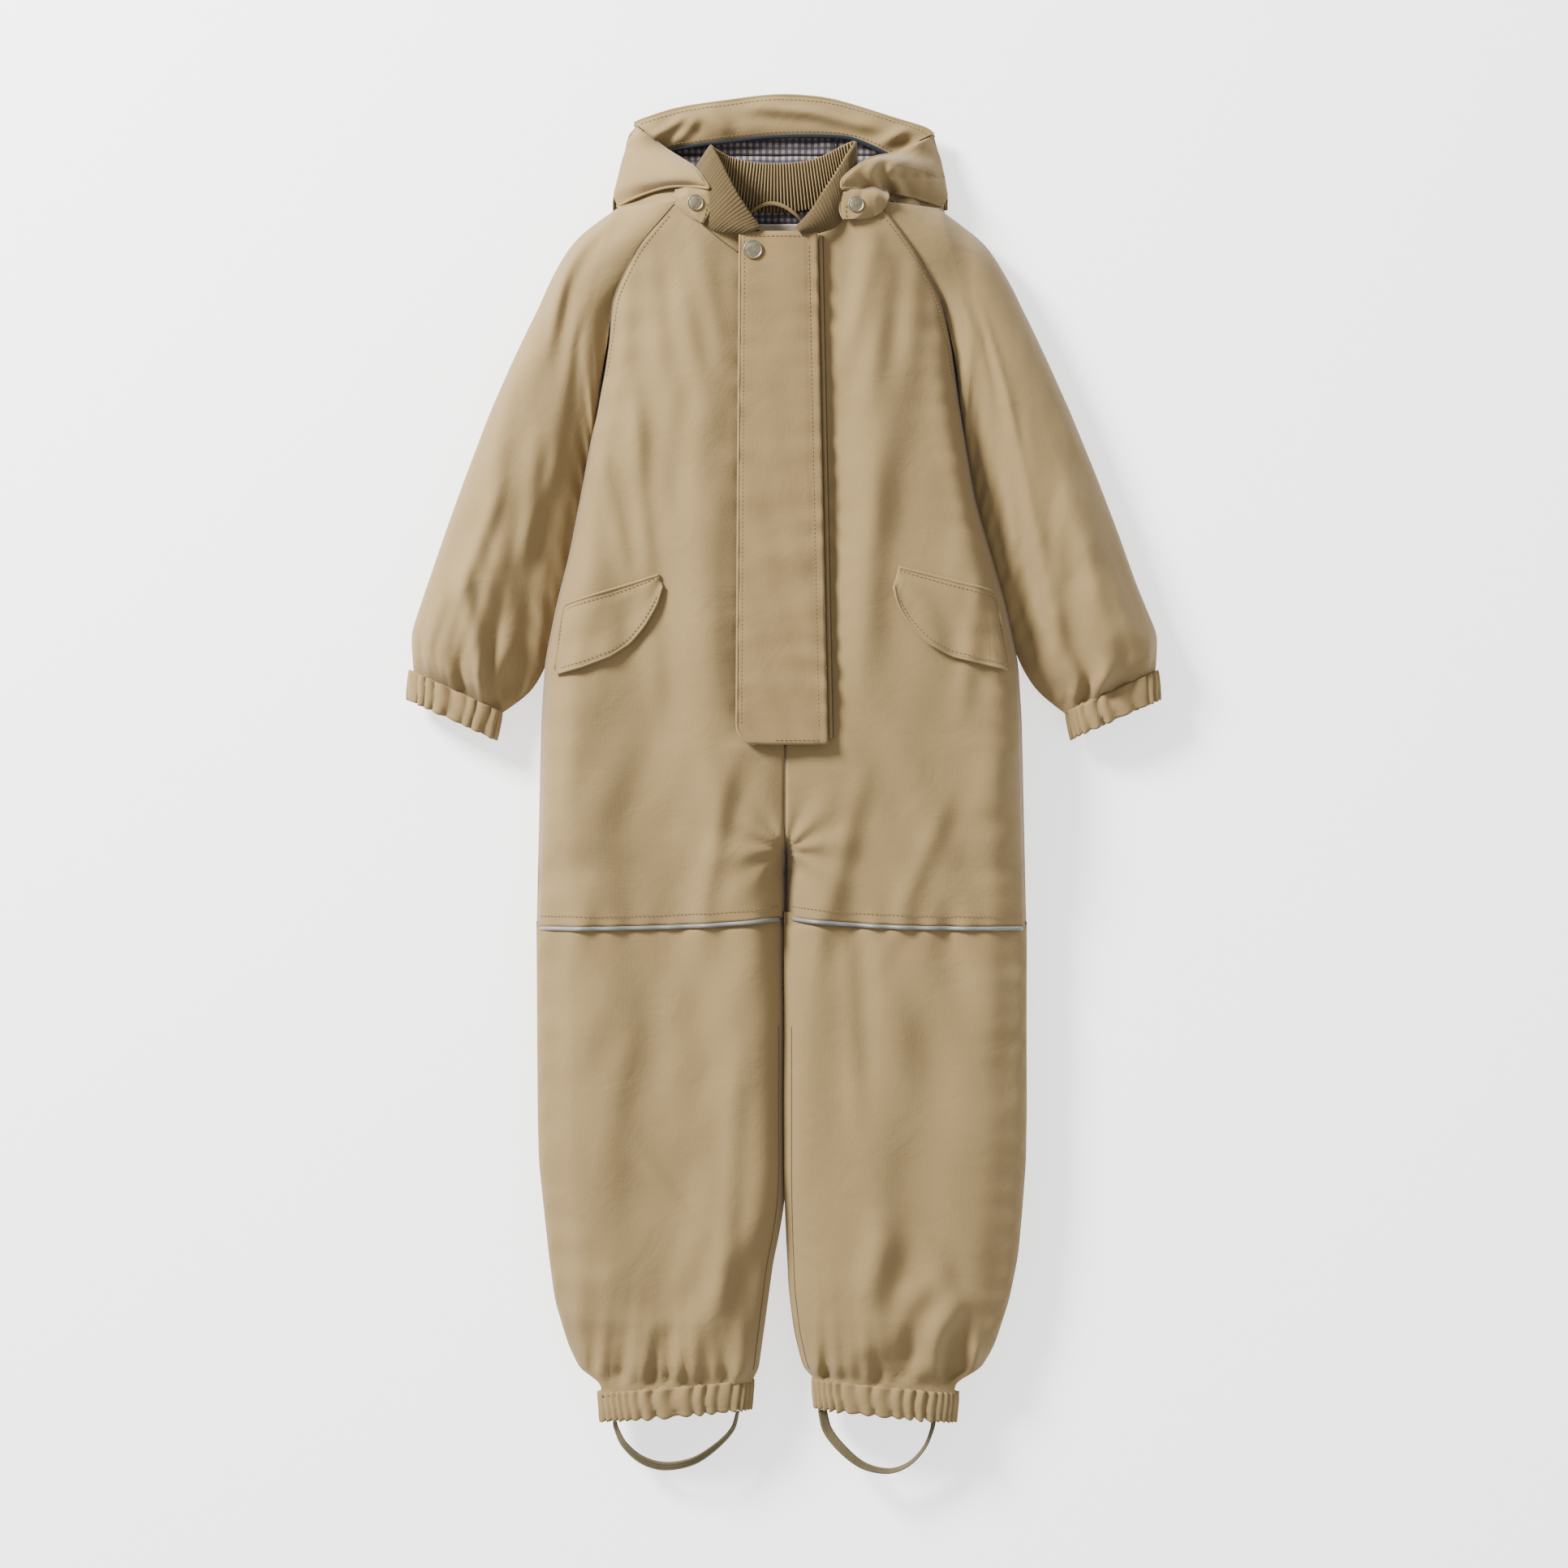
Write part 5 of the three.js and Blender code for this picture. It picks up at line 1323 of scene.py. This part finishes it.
# ---------------------------------------------------------------- hood tabs and snaps
for sign in (RIGHT, LEFT):
    side = NAMES[sign]
    low, high = node_box(side + "_hood_tab")
    if sign == RIGHT:
        outer = [(low[0] + 5, high[1] + 5), (low[0] + 4, high[1] - 3), (low[0] + 8, high[1] - 12),
                 (low[0] + 15, low[1] + 4), (low[0] + 22, low[1] + 0.2)]
        inner = [(high[0] - 5, high[1] + 9), (high[0] - 1.5, high[1]), (high[0] + 0.4, high[1] - 8),
                 (high[0] - 2.5, high[1] - 16), (low[0] + 23.5, low[1])]
    else:
        outer = [(high[0] - 1.5, high[1] + 4), (high[0] + 0.5, high[1] - 4), (high[0] - 5, low[1] + 8),
                 (high[0] - 13, low[1] + 3.6), (high[0] - 20, low[1] + 2.6)]
        inner = [(low[0] + 6, high[1] + 10), (low[0] + 1, high[1] + 1), (low[0] - 0.4, high[1] - 9),
                 (low[0] + 0.8, low[1] + 6), (low[0] + 3.0, low[1] + 2.4)]
    rows, cols = 34, 26
    a, b = smooth_line(outer, rows), smooth_line(inner, rows)
    u = np.linspace(0, 1, cols)[None]
    xy = mix(a[:, None], b[:, None], u[..., None])
    x, y = xy[..., 0], xy[..., 1]
    rest = front_z(sign, x, y, False) + 2.2
    z = mix(rest, high[2] + 0.2, smooth(0.0, 0.42, u)) + 0.4 * folds(x, y, 17, 231 + sign)
    v = np.linspace(0, 1, rows)[:, None]
    z -= 11.0 * (1 - smooth(0, 0.30, v))
    z -= 0.6 * (1 - smooth(0, 0.1, 1 - u))
    if sign == LEFT:
        z += 1.4 * np.exp(-((x - high[0] + 8) / 3.0) ** 2) * smooth(0, 0.4, 1 - v)
        z -= 1.0 * np.exp(-((x - low[0] - 14 - 0.2 * (y - 400)) / 2.0) ** 2) * smooth(390, 404, y)
    points = np.stack([x, y, z], axis=2)
    tab = grid_object(side + "_hood_tab_cloth", face_up(points), thickness=1.4)
    dress(tab, SHELL)
    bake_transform(tab)
    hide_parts(side + "_hood_tab")
    ride(tube(side + "_hood_tab_edge", points[15:, -1] - [0, 0, 0.5], 0.9), SHELL, side + "_hood_tab")
    ride(stitches(side + "_hood_tab_stitches", points[16:32, -5] + [0, 0, 0.3]), THREAD, side + "_hood_tab")


def snap_cap(name, node, body, dish):
    """A pressed metal cap: a rolled rim, a groove inside it and a shallow blank dome, slightly dented."""
    low, high = node_box(node)
    cx, cy = (low[0] + high[0]) / 2, (low[1] + high[1]) / 2
    r = (high[0] - low[0]) / 2
    profile = [(0.0, 1.25), (0.35, 1.2), (0.6, 1.05), (0.76, 0.92), (0.82, 0.78), (0.86, 0.86), (0.92, 1.25),
               (0.97, 1.2), (1.0, 0.8), (1.0, 0.25), (0.94, 0.0), (0.6, -0.1)]
    a = np.linspace(0, 2 * math.pi, 65)
    rings = []
    for share, lift in profile:
        dent = 0.06 * np.sin(3 * a + dish) * share
        rings.append(np.column_stack([cx + r * share * np.cos(a), cy + r * share * np.sin(a),
                                      low[2] + lift + dent]))
    cap = grid_object(name, np.array(rings)[::-1], closed=True)
    ride(cap, PEWTER, body, [node])


snap_cap("storm_flap_snap", "storm_flap_snap_cap", "storm_flap", 0.4)
snap_cap("right_hood_snap", "right_hood_snap_cap", "right_hood_tab", 1.4)
snap_cap("left_hood_snap", "left_hood_snap_cap", "left_hood_tab", 2.4)

# ---------------------------------------------------------------- raglan, crotch and chest seams
for sign in (RIGHT, LEFT):
    side = NAMES[sign]
    y = np.linspace(UNDERARM_Y - 2, RAGLAN_TOP_Y - 3, 90)
    x = side_x(sign, y) + sign * 0.3
    groove = np.column_stack([x, y, front_z(sign, x - sign * 0.8, y) + 0.15])
    # a thin tube of painted shade along the raglan seam's groove
    ride(tube(side + "_raglan_seam_shade", groove, 0.3, 6), SEAM_SHADE)
    x2 = side_x(sign, y[:-6]) - sign * 3.6
    row = np.column_stack([x2, y[:-6], front_z(sign, x2, y[:-6]) + 0.4])
    ride(stitches(side + "_raglan_stitches", row), THREAD)
crotch = [(0.0, y) for y in np.linspace(KNEE_Y + 8, FLAP_LOW[1], 40)]
# the crotch seam, drawn as a thin tube of painted shade
ride(tube("crotch_seam_shade", on_front(RIGHT, crotch, 0.1), 0.45, 6), SEAM_SHADE)
tab_low, _ = node_box("right_hood_tab")
diagonal = [(tab_low[0] + 23.5, tab_low[1] - 1), (tab_low[0] + 36, tab_low[1] - 11), (free_x[-1] - 1.5, tab_low[1] - 19)]
# the seam across the right chest, drawn as a thin tube of painted shade
ride(tube("right_chest_seam_shade", on_front(RIGHT, smooth_line(diagonal, 30), 0.2), 0.5, 6), SEAM_SHADE)

# ---------------------------------------------------------------- the CAD's own hard parts that stay in view
HARD_PARTS = {BRASS: ("zip_teeth", "zip_bottom_stop", "zip_slider", "zip_pull"),
              PEWTER[0]: ("storm_flap_snap_stud", "right_hood_snap_stud", "left_hood_snap_stud")}
for metal, nodes in HARD_PARTS.items():
    for node in nodes:
        NODES[node].data.materials.clear()
        NODES[node].data.materials.append(metal)

# ---------------------------------------------------------------- studio
bpy.ops.mesh.primitive_plane_add(size=8, location=(0, 0, -0.0006))
paper = bpy.context.object
paper.name = "backdrop"
paper.data.materials.append(backdrop_material("backdrop_paper", (0.93, 0.93, 0.93)))


def area_light(name, place, size, power, colour=(1, 1, 1)):
    """A round soft light, aimed at the origin."""
    data = bpy.data.lights.new(name, "AREA")
    data.shape = "DISK"
    data.size, data.energy, data.color = size, power, colour
    lamp = bpy.data.objects.new(name, data)
    bpy.context.collection.objects.link(lamp)
    lamp.location = place
    lamp.rotation_euler = (-Vector(place)).to_track_quat("-Z", "Y").to_euler()


area_light("key", (-2.1, 1.9, 1.55), 0.9, 400, (1.0, 0.985, 0.96))
area_light("fill", (1.6, -1.2, 2.8), 3.0, 22)
world = bpy.data.worlds.new("studio")
bpy.context.scene.world = world
world.use_nodes = True
world.node_tree.nodes["Background"].inputs[0].default_value = (1, 1, 1, 1)
world.node_tree.nodes["Background"].inputs[1].default_value = 0.85

CAMERA_HEIGHT = 3.2
VIEW_WIDTH = 1.08192
SENSOR = 36
data = bpy.data.cameras.new("camera")
data.sensor_width = SENSOR
data.lens = SENSOR * (CAMERA_HEIGHT - 0.03) / VIEW_WIDTH
camera = bpy.data.objects.new("camera", data)
bpy.context.collection.objects.link(camera)
camera.location = (-0.0008, 0.0005, CAMERA_HEIGHT)
bpy.context.scene.camera = camera
